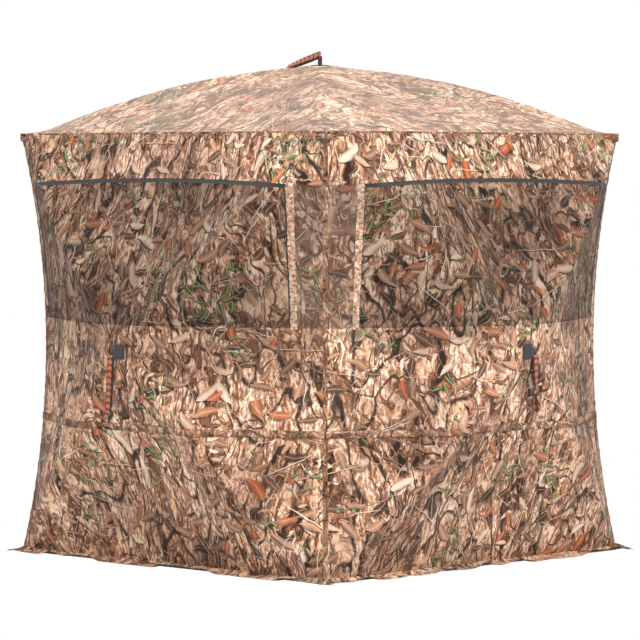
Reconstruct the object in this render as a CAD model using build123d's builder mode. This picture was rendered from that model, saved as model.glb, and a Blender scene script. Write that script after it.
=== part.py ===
"""Pop up ground blind: four hub walls and a hub roof, each an X of bowed rods under cloth.

Millimetres, +Z up, ground at z = 0, the blind's axis on Z. The front wall faces -Y. Every wall is
worked out for the front and turned about Z: 0 front, 1 right (+X), 2 back (+Y), 3 left (-X).
"""
from math import asin, degrees, sqrt
from pathlib import Path

from build123d import *

# ---- driving dimensions -------------------------------------------------------------------------
HALF_SIDE = 731.0          # half the side of the square at the ground and at the eave
EAVE_Z = 1450.0            # height of the eave
WALL_HUB_Z = 727.0         # height of the wall hubs
WALL_HUB_OUT = 931.0       # from the axis to the middle of a wall hub
ROOF_HUB_Z = 1665.0        # height of the middle of the roof hub
CORNER_INSET = 59.0        # how far the upright corner edges pull in at mid height
CLOTH_T = 2.2              # thickness of the cloth solids
CLOTH_GAP = 15.8           # from a rod's middle to the inside of the cloth
ROD_R = 4.5                # radius of the glass fibre rods
ROD_BOW = 46.0             # rise of a rod's arc over its chord
BALL_R = 6.0               # radius of the tip ball in its corner cup
BALL_FIT = 0.3             # clearance round the ball
BALL_IN = 41.0             # from the wall's end to the ball, along the wall
BALL_BACK = 19.0           # from the wall's plane back to the ball
BALL_LOW_Z = 30.0          # height of the lower balls
BALL_TOP_DROP = 45.0       # from the eave down to the upper balls
ROOF_BALL_IN = 43.0        # from the side of the square to the roof ball
ROOF_BALL_DROP = 16.0      # from the eave down to the roof balls
BOOT_WALL = 4.0            # wall round a ball cup
BOOT_HIGH = 40.0           # height of a corner boot

HUB_R = 60.0               # radius of a hub
HUB_HALF_T = 15.5          # half the thickness of a hub
HUB_PLATE_T = 3.0          # its two plates
HUB_FLAT = 88.0            # radius over which the cloth lies flat on a hub
HUB_BOSS_R = 10.0          # its centre boss
HUB_PIN_AT = 48.0          # from the hub's centre to each pin
PIN_R = 2.0                # radius of the pins
PIN_FIT = 0.05             # radial clearance of a pin in the hub
PIN_LONG = 24.0            # length of the pins
TONGUE_T = 7.4             # thickness of a rod's tongue
TONGUE_SIDE = 0.8          # clearance each side of a tongue in its channel
TONGUE_HALF_H = 7.5        # half the height of a tongue
TONGUE_NOSE = 7.6          # tongue beyond the pin
SLOT_SLACK = 2.4           # clearance above and below the pin in its slot
TONGUE_OUT = 50.0          # least reach of the tongue from the pin towards the corner
TONGUE_WEB = 12.0          # least solid tongue beyond its slot
FERRULE_LAP = 7.0          # tongue held inside the end of the ferrule
FERRULE_R = 6.4            # radius of the ferrule
FERRULE_LONG = 44.0        # length of the ferrule

BOLT_R = 4.0               # radius of the hub's centre bolt
BOLT_FIT = 0.1             # its clearance in the hub
BOLT_HEAD_R = 8.0          # radius of its head and of the nut
BOLT_HEAD_T = 3.0          # thickness of its head
CLOTH_HOLE_R = 7.0         # hole in the cloth for the bolt
BODY_GAP = 0.4             # clearance between cloth and what moves past it
PATCH_SIDE = 50.0          # side of the square patch over a hub
PATCH_T = 2.4              # its thickness
STRAP_WIDE = 24.0          # width of a pull strap
STRAP_T = 1.5              # thickness of its webbing
STRAP_LONG = 190.0         # length of the hanging loop
STRAP_LOOP = 6.0           # depth of the loop
STRAP_OFF = 37.0           # from the patch's middle to the strap's middle
ROOF_STRAP_LONG = 180.0    # length of the roof's loop
ROOF_STRAP_DROP = 15.0     # how steeply it lies, degrees
STEM_HIGH = 34.0           # upright stem that carries the roof's loop
TAB_HIGH = 18.0            # height of the strap's sewn tab

WINDOW_LOW = 815.0         # lower edge of the window band
WINDOW_TOP = 1284.0        # its upper edge, under the valance
WINDOW_FAR = 40.0          # from the window to the far corner
WINDOW_NEAR = 146.0        # from the window to the near corner
BELT_LOW = 462.0           # lower edge of the belt strip
BELT_TOP = 484.0           # its upper edge
BELT_T = 2.0               # its thickness
TRIM_HIGH = 24.0           # height of the trim under the eave
TRIM_T = 2.2               # its thickness
TAPE_WIDE = 15.0           # width of the tape inside the eave
TAPE_HIGH = 9.0            # its height
SKIRT_T = 2.4              # thickness of the ground skirts
SKIRT_WIDE = 70.0          # how far a skirt reaches out from the wall
SKIRT_IN = 34.0            # how far it reaches in, under the corner boots
SKIRT_EAR = 72.0           # how far its pointed ends pass the corner
SKIRT_LIFT = 0.2           # gap between crossing skirts

DOOR_CORNER = 71.0         # from the corner to the hinge side of the doorway
DOOR_FAR = 285.0           # its opening side
DOOR_LOW = 130.0           # its lowest point
DOOR_TOP = 1330.0          # its highest point
DOOR_IN_LOW = 490.0        # lower corner at the opening side
DOOR_IN_TOP = 970.0        # upper corner at the opening side
ZIP_WIDE = 9.0             # width of the zip tape round the door
ZIP_GAP = 1.2              # gap between tape and flap
SLIDER = (9.0, 5.0, 14.0)  # body of the zip slider
PULL = (6.0, 2.0, 34.0)    # its pull tab
SLIDER_OFF = 7.7           # from the zip's line on the wall to the slider's back
CUT_SPARE = 72.0           # how far a cutting shape passes the cloth it cuts, each way
BELT_END = 4.0             # from the doorway to the ends of the belt beside it

PARTS = Path(__file__).resolve().parent / "parts"
PARTS.mkdir(exist_ok=True)
WALLS = ("front", "right", "back", "left")
OUT = CLOTH_GAP + CLOTH_T
UP = Vector(0, 0, 1)
LEVELS = ([BELT_LOW - drop for drop in (342, 222, 102, 0)] + [BELT_TOP]
          + [WALL_HUB_Z + step for step in (-187, -117, -62, 0, 62)] + [WINDOW_LOW]
          + [WINDOW_TOP - drop for drop in (384, 284, 184, 84, 0)] + [WINDOW_TOP + 76])


def save(name, part):
    part.label = name
    part.part.label = name
    export_step(part.part, str(PARTS / (name + ".step")))


# ---- the lines of a wall ------------------------------------------------------------------------
def turned(k):
    return Location((0, 0, 0), (0, 0, 90 * k))


def wall_normal(k):
    return Vector(0, -1, 0).rotate(Axis.Z, 90 * k)


def wall_ball(k, side, top):
    z = EAVE_Z - BALL_TOP_DROP if top else BALL_LOW_Z
    at = Vector(side * (HALF_SIDE - BALL_IN), -(HALF_SIDE - BALL_BACK), z)
    return at.rotate(Axis.Z, 90 * k)


def roof_ball(k):
    a = HALF_SIDE - ROOF_BALL_IN
    return Vector(a, -a, EAVE_Z - ROOF_BALL_DROP).rotate(Axis.Z, 90 * k)


def hub_at(k):
    return Vector(0, -WALL_HUB_OUT, WALL_HUB_Z).rotate(Axis.Z, 90 * k)


ROOF_HUB = Vector(0, 0, ROOF_HUB_Z)


def rise(share, height, ball_to_hub):
    """Height of the cloth's ridge over a ball, share of the way from the ball to the hub."""
    t = min(1.0, share * ball_to_hub / (ball_to_hub - HUB_FLAT))
    return height * t + 4 * ROD_BOW * t * (1 - t)


def inset(z):
    t = (z - EAVE_Z / 2) / (EAVE_Z / 2)
    return CORNER_INSET * (1 - t * t)


def wall_line(z, off=0.0):
    """Half the front wall's section at one height: corner, ridge, in (across, outward)."""
    low = z < WALL_HUB_Z
    foot = BALL_LOW_Z if low else EAVE_Z - BALL_TOP_DROP
    far = abs(foot - WALL_HUB_Z)
    wide = HALF_SIDE - BALL_IN
    share = max(0.0, min(1.0, abs(z - foot) / far)) if (z - foot) * (WALL_HUB_Z - foot) > 0 else 0.0
    deep = HALF_SIDE - BALL_BACK + rise(share, WALL_HUB_OUT - HALF_SIDE + BALL_BACK,
                                        sqrt(far * far + wide * wide))
    corner = HALF_SIDE - inset(z)
    ridge = max(HUB_R + 2, wide * (1 - share))
    return (corner - off, corner - off), (min(ridge, corner - 20), deep + OUT - off)


def wall_row(z, off):
    corner, ridge = wall_line(z, off)
    row = [(-corner[0], corner[1]), (-ridge[0], ridge[1]), (ridge[0], ridge[1]), corner]
    return [Vector(u, -n, z) for u, n in row]


# ---- thin cloth solids --------------------------------------------------------------------------
def triangle(a, b, c):
    return Face(Wire.make_polygon([a, b, c], close=True))


def skin(outer, inner, ring=False):
    """A closed thin solid between two grids of points, row by row."""
    faces = []
    rows, cols = len(outer), len(outer[0])
    steps = cols if ring else cols - 1
    for i in range(rows - 1):
        for j in range(steps):
            m = (j + 1) % cols
            for g in (outer, inner):
                faces.append(triangle(g[i][j], g[i][m], g[i + 1][m]))
                faces.append(triangle(g[i][j], g[i + 1][m], g[i + 1][j]))
    for i in (0, rows - 1):
        for j in range(steps):
            m = (j + 1) % cols
            faces.append(triangle(outer[i][j], outer[i][m], inner[i][m]))
            faces.append(triangle(outer[i][j], inner[i][m], inner[i][j]))
    if not ring:
        for j in (0, cols - 1):
            for i in range(rows - 1):
                faces.append(triangle(outer[i][j], outer[i + 1][j], inner[i + 1][j]))
                faces.append(triangle(outer[i][j], inner[i + 1][j], inner[i][j]))
    solid = Solid(Shell(faces))
    return solid if solid.volume > 0 else Solid(solid.wrapped.Reversed())


def wall_strip(z_levels, columns, out_off=0.0, in_off=CLOTH_T):
    """Part of the wall between two neighbouring columns of its section."""
    grids = []
    for off in (out_off, in_off):
        grids.append([wall_row(z, off)[columns[0]:columns[1] + 1] for z in z_levels])
    return skin(*grids)


def wall_panels(k, low=0.0, high=EAVE_Z):
    """The wall's sewn panels: side, middle and side, in bands from foot to eave."""
    levels = wall_levels(k)
    bands = (levels[0], BELT_LOW, WALL_HUB_Z, WINDOW_LOW, WINDOW_TOP, levels[-1])
    for z0, z1 in zip(bands, bands[1:]):
        if z0 >= low - 1 and z1 <= high + 1:
            rows = [z for z in levels if z0 <= z <= z1]
            for j in range(3):
                yield wall_strip(rows, (j, j + 1))


def roof_panels():
    """The canopy's sewn panels: four rings of four faces, and the cap over the hub."""
    reach = sqrt(2) * (HALF_SIDE - ROOF_BALL_IN)
    sides = [HALF_SIDE, HALF_SIDE - ROOF_BALL_IN] + [560, 430, 310, 200, 110, HUB_R + 2]
    grids = ([], [])
    for side in sides:
        share = max(0.0, 1 - sqrt(2) * side / reach)
        z = EAVE_Z - ROOF_BALL_DROP + rise(share, ROOF_HUB_Z - EAVE_Z + ROOF_BALL_DROP, reach) + OUT
        if side == HALF_SIDE:
            z = EAVE_Z
        for grid, drop in zip(grids, (0.0, CLOTH_T)):
            grid.append([Vector(s * side, t * side, z - drop) for s, t in
                         ((-1, -1), (1, -1), (1, 1), (-1, 1), (-1, -1))])
    outer, inner = grids
    for low, high in ((0, 3), (3, 7)):
        for j in range(4):
            rows = range(low, high + 1)
            yield skin([outer[i][j:j + 2] for i in rows], [inner[i][j:j + 2] for i in rows])
    top = [g[-1][:4] for g in grids]
    yield skin([top[0][:2], [top[0][3], top[0][2]]], [top[1][:2], [top[1][3], top[1][2]]])


def without(solid, cut):
    """A panel with a cut made in it by a function of the builder, or None if nothing is left."""
    with BuildPart(mode=Mode.PRIVATE) as piece:
        add(solid)
        cut()
    return [s for s in piece.solids() if s.volume > 1]


def save_panels(name, solids, k=0):
    whole = Compound(label=name, children=[turned(k) * s for s in solids])
    export_step(whole, str(PARTS / (name + ".step")))


# ---- wall cloth, windows and door ---------------------------------------------------------------
def wall_levels(k):
    foot = SKIRT_T if k % 2 == 0 else 2 * SKIRT_T + SKIRT_LIFT
    top = EAVE_Z - CLOTH_T
    return [foot, BALL_LOW_Z] + list(LEVELS) + [EAVE_Z - BALL_TOP_DROP, top]


def window_box(u0, u1):
    """A box through the front wall over the window band."""
    centre = ((u0 + u1) / 2, -(HALF_SIDE + WALL_HUB_OUT) / 2, (WINDOW_LOW + WINDOW_TOP) / 2)
    deep = WALL_HUB_OUT - HALF_SIDE + 2 * (CORNER_INSET + CUT_SPARE)
    size = (u1 - u0, deep, WINDOW_TOP - WINDOW_LOW)
    return centre, size


# where each wall is see-through: far side, near side, and the strip beside the near corner
WINDOW_SPANS = {0: (-1, 1), 1: (1, -1), 3: (-1, 1)}


def window_span(k):
    far, near = WINDOW_SPANS[k]
    ends = (far * (HALF_SIDE - WINDOW_FAR - CORNER_INSET / 2), near * (HALF_SIDE - WINDOW_NEAR))
    return min(ends), max(ends)


def strip_span(k):
    near = WINDOW_SPANS[k][1]
    ends = (near * (HALF_SIDE - WINDOW_NEAR), near * (HALF_SIDE + 20))
    return min(ends), max(ends)


def hub_hole():
    with Locations((0, -WALL_HUB_OUT - HUB_HALF_T, WALL_HUB_Z)):
        Cylinder(CLOTH_HOLE_R, 40, rotation=(90, 0, 0), mode=Mode.SUBTRACT)


def cut_box(span, mode):
    centre, size = window_box(*span)
    with Locations(centre):
        Box(*size, mode=mode)


def door_outline(shrink):
    """The door's outline in the back wall's own (across, up), made smaller all round."""
    hinge_side = HALF_SIDE - DOOR_CORNER
    corners = ((hinge_side, DOOR_LOW), (hinge_side, DOOR_TOP),
               (DOOR_FAR, DOOR_IN_TOP), (DOOR_FAR, DOOR_IN_LOW))
    with BuildSketch(Plane.XZ.offset(HALF_SIDE - CORNER_INSET - CUT_SPARE)) as outline:
        with BuildLine():
            Polyline(*corners, close=True)
        make_face()
        if shrink:
            offset(amount=-shrink, kind=Kind.INTERSECTION, mode=Mode.REPLACE)
    return outline.sketch


def door_prism(shrink, mode):
    deep = WALL_HUB_OUT + OUT - HALF_SIDE + CORNER_INSET + 2 * CUT_SPARE
    extrude(door_outline(shrink), amount=deep, mode=mode)


def wall_cut(k):
    """What is cut from wall k: its hub hole, and its doorway or its windows."""
    hub_hole()
    if k == 2:
        door_prism(0, Mode.SUBTRACT)
    else:
        cut_box(window_span(k), Mode.SUBTRACT)
    if k in (0, 1):
        cut_box(strip_span(k), Mode.SUBTRACT)


def build_walls():
    for k, name in enumerate(WALLS):
        panels = [s for p in wall_panels(k) for s in without(p, lambda: wall_cut(k))]
        save_panels(name + "_wall", panels, k)
        if k != 2:
            band = list(wall_panels(k, WINDOW_LOW, WINDOW_TOP))
            keep = [s for p in band for s in without(p, lambda: cut_box(window_span(k), Mode.INTERSECT))]
            save_panels(name + "_window_mesh", keep, k)


def placed(builder, k):
    with BuildPart() as moved:
        add(turned(k) * builder.part.locate(Location()))
    return moved


def build_corner_mesh():
    """The see-through strips that meet at the near corner, one on each of its two walls."""
    keep = []
    for k in (0, 1):
        panels = list(wall_panels(k, WINDOW_LOW, WINDOW_TOP))
        beside = panels[2] if WINDOW_SPANS[k][1] > 0 else panels[0]
        strip = without(beside, lambda: cut_box(strip_span(k), Mode.INTERSECT))
        keep += [turned(k) * solid for solid in strip]
    save_panels("corner_window_mesh", keep)


def door_cut(solid):
    """The part of a side panel that belongs to the door flap, inside its zip."""
    return without(solid, lambda: door_prism(ZIP_WIDE + ZIP_GAP, Mode.INTERSECT))


def build_door():
    sides = list(wall_panels(2))[2::3]
    save_panels("door_flap", [s for panel in sides for s in door_cut(panel)], 2)
    with BuildPart() as tape:
        add(wall_strip(wall_levels(2), (2, 3)))
        door_prism(0, Mode.INTERSECT)
        door_prism(ZIP_WIDE, Mode.SUBTRACT)
    save("door_zip_tape", placed(tape, 2))


def door_edge(z):
    """Outer surface of the back wall at the opening side of the door, in its own frame."""
    rows = [z0 for z0 in LEVELS]
    low = max(r for r in rows if r <= z)
    high = min(r for r in rows if r > z)
    t = (z - low) / (high - low)
    depth = []
    for level in (low, high):
        corner, ridge = wall_line(level)
        u = DOOR_FAR + ZIP_WIDE / 2
        depth.append(ridge[1] + (corner[1] - ridge[1]) * (u - ridge[0]) / (corner[0] - ridge[0]))
    return depth[0] + (depth[1] - depth[0]) * t


def build_slider():
    """The zip's slider, parked low on the upright side of the door, with its hanging pull."""
    z = BELT_TOP + 60
    u = DOOR_FAR + ZIP_WIDE / 2
    base = Vector(u, -door_edge(z) - SLIDER[1] / 2 - SLIDER_OFF, z)
    with BuildPart() as slider:
        with Locations(base):
            Box(*SLIDER)
        with Locations(base + Vector(0, -SLIDER[1] / 2 - PULL[1] / 2, SLIDER[2] / 2 - PULL[2] / 2 - 2)):
            Box(*PULL)
            with Locations((0, 0, -PULL[2] / 2 + 5)):
                Cylinder(1.6, PULL[1] * 2, rotation=(90, 0, 0), mode=Mode.SUBTRACT)
    save("door_zip_slider", placed(slider, 2))


# ---- roof, trims and skirts ---------------------------------------------------------------------
def roof_hole():
    with Locations((0, 0, ROOF_HUB_Z + HUB_HALF_T)):
        Cylinder(CLOTH_HOLE_R, 60, mode=Mode.SUBTRACT)


def build_canopy():
    save_panels("canopy", [s for p in roof_panels() for s in without(p, roof_hole)])


def square_ring(outer, inner, low, high):
    with BuildPart() as ring:
        with BuildSketch(Plane.XY.offset(low)):
            Rectangle(2 * outer, 2 * outer)
            Rectangle(2 * inner, 2 * inner, mode=Mode.SUBTRACT)
        extrude(amount=high - low)
    return ring


def build_trims():
    save("eave_trim", square_ring(HALF_SIDE + TRIM_T, HALF_SIDE, EAVE_Z - TRIM_HIGH, EAVE_Z))
    inside = HALF_SIDE - CLOTH_T - 3.0
    save("eave_tape", square_ring(inside, inside - TAPE_WIDE, EAVE_Z - CLOTH_T - TAPE_HIGH,
                                  EAVE_Z - CLOTH_T))


def build_belt():
    """Webbing round the walls, which stops at the doorway."""
    with BuildPart() as belt:
        for k in range(4):
            strip = skin([wall_row(z, -BELT_T) for z in (BELT_LOW, BELT_TOP)],
                         [wall_row(z, 0.0) for z in (BELT_LOW, BELT_TOP)])
            lengths = [strip]
            if k == 2:
                lengths = without(strip, lambda: door_prism(-BELT_END, Mode.SUBTRACT))
            for length in lengths:
                add(turned(k) * length)
    save("belt_strips", belt)


def build_skirts():
    with BuildPart() as skirts:
        for k in range(4):
            low = 0.0 if k % 2 == 0 else SKIRT_T + SKIRT_LIFT
            a, w, e = HALF_SIDE, SKIRT_WIDE, SKIRT_EAR
            line = [(-a + SKIRT_IN, -a + SKIRT_IN), (-a, -a), (-a - e, -a - 14), (-a + 40, -a - w)]
            line += [(-a * 0.45, -a - w - 2), (0, -a - w - 8)]
            line = line + [(-x, y) for x, y in reversed(line[:-1])]
            with BuildSketch(Plane.XY.offset(low)) as flat:
                with BuildLine():
                    Polyline(*line, close=True)
                make_face()
            with BuildPart(mode=Mode.PRIVATE) as one:
                extrude(flat.sketch, amount=SKIRT_T)
            add(turned(k) * one.part)
    save("ground_skirts", skirts)


# ---- corner boots -------------------------------------------------------------------------------
def rod_frame(ball, hub, out):
    """Height, direction across to the hub, and the pin's place, for one rod."""
    span = hub - ball
    height = span.dot(out)
    across = (span - out * height).normalized()
    return height, across, hub - across * HUB_PIN_AT


def swing_room(ball, hub, out):
    """Room in a boot for the rod's swing, from fully out to fully in."""
    _, across, _ = rod_frame(ball, hub, out)
    side = across.cross(out)
    room = [(0, -5.6), (34, -9.5), (34, 24), (22, 16.5), (0, 5.8)]
    with BuildSketch(Plane(origin=ball, x_dir=across, z_dir=side)) as fan:
        with BuildLine():
            Polyline(*room, close=True)
        make_face()
    extrude(fan.sketch, amount=ROD_R + 0.9, both=True, mode=Mode.SUBTRACT)


def ball_frame(ball, hub, out):
    """A frame at a ball with its Z towards the hub."""
    _, across, _ = rod_frame(ball, hub, out)
    return Plane(origin=ball, x_dir=across.cross(out), z_dir=across).location


def cups(rods):
    for rod in rods:
        with Locations(ball_frame(*rod)):
            Sphere(BALL_R + BALL_FIT + BOOT_WALL)


def hollow(rods):
    for rod in rods:
        with Locations(ball_frame(*rod)):
            Sphere(BALL_R + BALL_FIT, mode=Mode.SUBTRACT)
        swing_room(*rod)


def boot(k, low, high, rods):
    a = HALF_SIDE - BALL_BACK + 6
    b = HALF_SIDE - BALL_IN - 4
    with BuildPart(mode=Mode.PRIVATE) as one:
        centre = Vector((a + b) / 2, -(a + b) / 2, (low + high) / 2).rotate(Axis.Z, 90 * k)
        with Locations(centre):
            Box(a - b, a - b, high - low)
        cups(rods)
        if low < EAVE_Z / 2:
            with Locations((0, 0, low - 50)):
                Box(4000, 4000, 100, mode=Mode.SUBTRACT)
        hollow(rods)
    return one.part


def corner_rods(k, top):
    near, far = k, (k + 1) % 4
    rods = [(wall_ball(near, 1, top), hub_at(near), wall_normal(near)),
            (wall_ball(far, -1, top), hub_at(far), wall_normal(far))]
    if top:
        rods.append((roof_ball(k), ROOF_HUB, UP))
    return rods


def build_boots():
    with BuildPart() as lower:
        for k in range(4):
            low = 2 * SKIRT_T + SKIRT_LIFT
            add(boot(k, low, low + BOOT_HIGH, corner_rods(k, False)))
    save("lower_corner_boots", lower)
    with BuildPart() as upper:
        for k in range(4):
            high = EAVE_Z - CLOTH_T - TAPE_HIGH
            add(boot(k, high - BOOT_HIGH, high, corner_rods(k, True)))
    save("upper_corner_boots", upper)


# ---- rods ---------------------------------------------------------------------------------------
def arc_tube(ball, centre, turn, start, stop, radius):
    """A round bar along the arc through ball about centre, between two angles in radians."""
    axis = Axis(centre, turn)
    at = centre + (ball - centre).rotate(Axis((0, 0, 0), turn), degrees(start))
    with BuildSketch(Plane(origin=at, x_dir=(at - centre).normalized(),
                           z_dir=turn.cross(at - centre).normalized())) as end:
        Circle(radius)
    revolve(end.sketch, axis=axis, revolution_arc=degrees(stop - start))


def build_rod(name, ball, hub, out):
    height, across, pin = rod_frame(ball, hub, out)
    chord = (pin - ball).normalized()
    side = across.cross(out)
    bow = (out - chord * chord.dot(out)).normalized()
    half = (pin - ball).length / 2
    bend = (half * half + ROD_BOW * ROD_BOW) / (2 * ROD_BOW)
    centre = (ball + pin) / 2 - bow * (bend - ROD_BOW)
    turn = (ball - centre).cross(pin - centre).normalized()
    whole = 2 * asin(half / bend)
    slot = (pin - ball).length - (pin - ball - out * height).length
    reach = max(TONGUE_OUT, slot + PIN_R + SLOT_SLACK + TONGUE_WEB)
    stop = whole - (reach - FERRULE_LAP) / bend
    with BuildPart() as rod:
        arc_tube(ball, centre, turn, 0.0, stop, ROD_R)
        arc_tube(ball, centre, turn, stop - FERRULE_LONG / bend, stop, FERRULE_R)
        with Locations(Plane(origin=ball, x_dir=turn, z_dir=turn.cross(ball - centre)).location):
            Sphere(BALL_R)
        middle = (TONGUE_NOSE - reach) / 2
        with BuildSketch(Plane(origin=pin, x_dir=chord, z_dir=side)):
            with Locations((middle, 0)):
                Rectangle(TONGUE_NOSE + reach, 2 * TONGUE_HALF_H)
        extrude(amount=TONGUE_T / 2, both=True)
        with BuildSketch(Plane(origin=pin, x_dir=chord, z_dir=side)):
            with Locations((-slot / 2, 0)):
                SlotCenterToCenter(slot + 1.0, 2 * (PIN_R + SLOT_SLACK))
        extrude(amount=TONGUE_T, both=True, mode=Mode.SUBTRACT)
    save(name, rod)


def build_rods():
    for k, wall in enumerate(WALLS):
        for top in (False, True):
            for side in (-1, 1):
                name = f"{wall}_rod_{'upper' if top else 'lower'}_{'a' if side < 0 else 'b'}"
                build_rod(name, wall_ball(k, side, top), hub_at(k), wall_normal(k))
    for k in range(4):
        build_rod(f"roof_rod_{'abcd'[k]}", roof_ball(k), ROOF_HUB, UP)


# ---- hubs ---------------------------------------------------------------------------------------
def hub_balls(k):
    if k is None:
        return [roof_ball(j) for j in range(4)]
    return [wall_ball(k, side, top) for side in (-1, 1) for top in (False, True)]


def hub_frame(k):
    return (ROOF_HUB, UP) if k is None else (hub_at(k), wall_normal(k))


def pin_planes(k):
    at, out = hub_frame(k)
    for ball in hub_balls(k):
        _, across, pin = rod_frame(ball, at, out)
        yield Plane(origin=pin, x_dir=across, z_dir=across.cross(out)), across


def face_plane(at, out, up):
    """A plane square to the hub's axis, its x across and its y up the wall."""
    return Plane(origin=at, x_dir=up.cross(out), z_dir=out)


def build_hub(name, k):
    at, out = hub_frame(k)
    up = Vector(0, 1, 0) if k is None else UP
    room = HUB_HALF_T - HUB_PLATE_T
    with BuildPart() as hub:
        with BuildSketch(face_plane(at, out, up)):
            Circle(HUB_R)
        extrude(amount=HUB_HALF_T, both=True)
        for _, across in pin_planes(k):
            channel = Plane(origin=at, x_dir=across * -1, z_dir=out)
            with BuildSketch(channel):
                with Locations(((HUB_BOSS_R + HUB_R + 8) / 2, 0)):
                    Rectangle(HUB_R + 8 - HUB_BOSS_R, TONGUE_T + 2 * TONGUE_SIDE)
            extrude(amount=room, both=True, mode=Mode.SUBTRACT)
        for plane, _ in pin_planes(k):
            with BuildSketch(plane):
                Circle(PIN_R + PIN_FIT)
            extrude(amount=PIN_LONG / 2, both=True, mode=Mode.SUBTRACT)
        with BuildSketch(face_plane(at, out, up)):
            Circle(BOLT_R + BOLT_FIT)
        extrude(amount=HUB_HALF_T + 1, both=True, mode=Mode.SUBTRACT)
    save(name + "_hub", hub)


def build_fixings(name, k):
    at, out = hub_frame(k)
    up = Vector(0, 1, 0) if k is None else UP
    cloth = OUT + BODY_GAP
    with BuildPart() as fixings:
        for plane, _ in pin_planes(k):
            with BuildSketch(plane):
                Circle(PIN_R)
            extrude(amount=PIN_LONG / 2, both=True)
        with BuildSketch(face_plane(at - out * HUB_HALF_T, out, up)):
            Circle(BOLT_R)
        extrude(amount=HUB_HALF_T + cloth)
        with BuildSketch(face_plane(at - out * (HUB_HALF_T + BOLT_HEAD_T), out, up)):
            Circle(BOLT_HEAD_R)
        extrude(amount=BOLT_HEAD_T)
    save(name + "_hub_pins_and_bolt", fixings)
    with BuildPart() as patch:
        with BuildSketch(face_plane(at + out * cloth, out, up)):
            Rectangle(PATCH_SIDE, PATCH_SIDE)
            if k is not None:
                with Locations((tab_side(k) * (PATCH_SIDE / 2 + STRAP_WIDE / 2), 0)):
                    Rectangle(STRAP_WIDE, TAB_HIGH)
        extrude(amount=PATCH_T)
        if k is None:
            with Locations(at + out * (cloth + PATCH_T + STEM_HIGH / 2)):
                Box(STRAP_T, STRAP_WIDE, STEM_HIGH)
    save(name + "_hub_patch", patch)


def tab_side(k):
    """The side of the patch that the strap leaves from."""
    return {0: -1, 1: 1, 2: -1, 3: 1}[k]


def build_strap(name, k):
    """A loop of webbing that hangs from the tab beside a wall hub's patch."""
    at, out = hub_frame(k)
    plane = face_plane(at + out * (OUT + BODY_GAP), out, UP)
    side = Plane(origin=plane.from_local_coords(Vector(tab_side(k) * STRAP_OFF, 0, 0)),
                 x_dir=out, z_dir=plane.x_dir)
    down = -1 if side.y_dir.Z > 0 else 1
    top = TAB_HIGH / 2 + BODY_GAP
    with BuildPart() as strap:
        with BuildSketch(side):
            with Locations((STRAP_LOOP / 2, down * (top + STRAP_LONG / 2))):
                RectangleRounded(STRAP_LOOP, STRAP_LONG, STRAP_LOOP / 2 - 0.05)
            with Locations((STRAP_LOOP / 2, down * (top + STRAP_LONG / 2))):
                inner = STRAP_LOOP - 2 * STRAP_T
                RectangleRounded(inner, STRAP_LONG - 2 * STRAP_T, inner / 2 - 0.05, mode=Mode.SUBTRACT)
        extrude(amount=STRAP_WIDE / 2, both=True)
    save(name + "_pull_strap", strap)


def build_roof_strap():
    """The roof's loop leans from the top of its stem down to the cloth."""
    end = STRAP_LOOP / 2
    pivot = ROOF_HUB + UP * (OUT + BODY_GAP + PATCH_T + STEM_HIGH + BODY_GAP + end)
    along = Vector(-1, 0, 0).rotate(Axis.Y, -ROOF_STRAP_DROP)
    with BuildPart() as strap:
        with BuildSketch(Plane(origin=pivot, x_dir=along, z_dir=(0, 1, 0))):
            with Locations((ROOF_STRAP_LONG / 2 - end, 0)):
                RectangleRounded(ROOF_STRAP_LONG, STRAP_LOOP, end - 0.05)
                inner = STRAP_LOOP - 2 * STRAP_T
                RectangleRounded(ROOF_STRAP_LONG - 2 * STRAP_T, inner, inner / 2 - 0.05,
                                 mode=Mode.SUBTRACT)
        extrude(amount=STRAP_WIDE / 2, both=True)
    save("roof_pull_strap", strap)


def build_hubs():
    for k, wall in enumerate(WALLS):
        build_hub(wall, k)
        build_fixings(wall, k)
        build_strap(wall, k)
    build_hub("roof", None)
    build_fixings("roof", None)
    build_roof_strap()


build_walls()
build_corner_mesh()
build_door()
build_slider()
build_canopy()
build_trims()
build_belt()
build_skirts()
build_boots()
build_rods()
build_hubs()
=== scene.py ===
"""Pop up ground blind: cloth, windows, webbing, rods and straps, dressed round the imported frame."""
import math

import bpy
import numpy as np
from bpy.props import FloatProperty, FloatVectorProperty, PointerProperty
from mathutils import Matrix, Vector


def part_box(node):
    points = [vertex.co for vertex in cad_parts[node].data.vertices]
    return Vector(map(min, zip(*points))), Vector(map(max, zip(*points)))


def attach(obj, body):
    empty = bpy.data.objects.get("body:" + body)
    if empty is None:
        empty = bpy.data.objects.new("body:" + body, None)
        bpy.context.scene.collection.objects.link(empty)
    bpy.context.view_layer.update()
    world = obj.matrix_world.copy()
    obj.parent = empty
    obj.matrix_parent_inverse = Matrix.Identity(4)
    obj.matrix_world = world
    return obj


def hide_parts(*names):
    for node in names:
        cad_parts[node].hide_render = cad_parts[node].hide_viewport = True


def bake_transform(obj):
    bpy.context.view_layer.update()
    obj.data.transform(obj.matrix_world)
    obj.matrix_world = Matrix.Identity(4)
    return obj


bl_info = {
    "name": "Pop up ground blind",
    "version": (1, 0, 0),
    "blender": (4, 5, 0),
    "location": "3D View > Sidebar > Blind",
    "description": "Builds the cloth, windows, webbing and rods of a pop up ground blind",
    "category": "Object",
}

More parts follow.
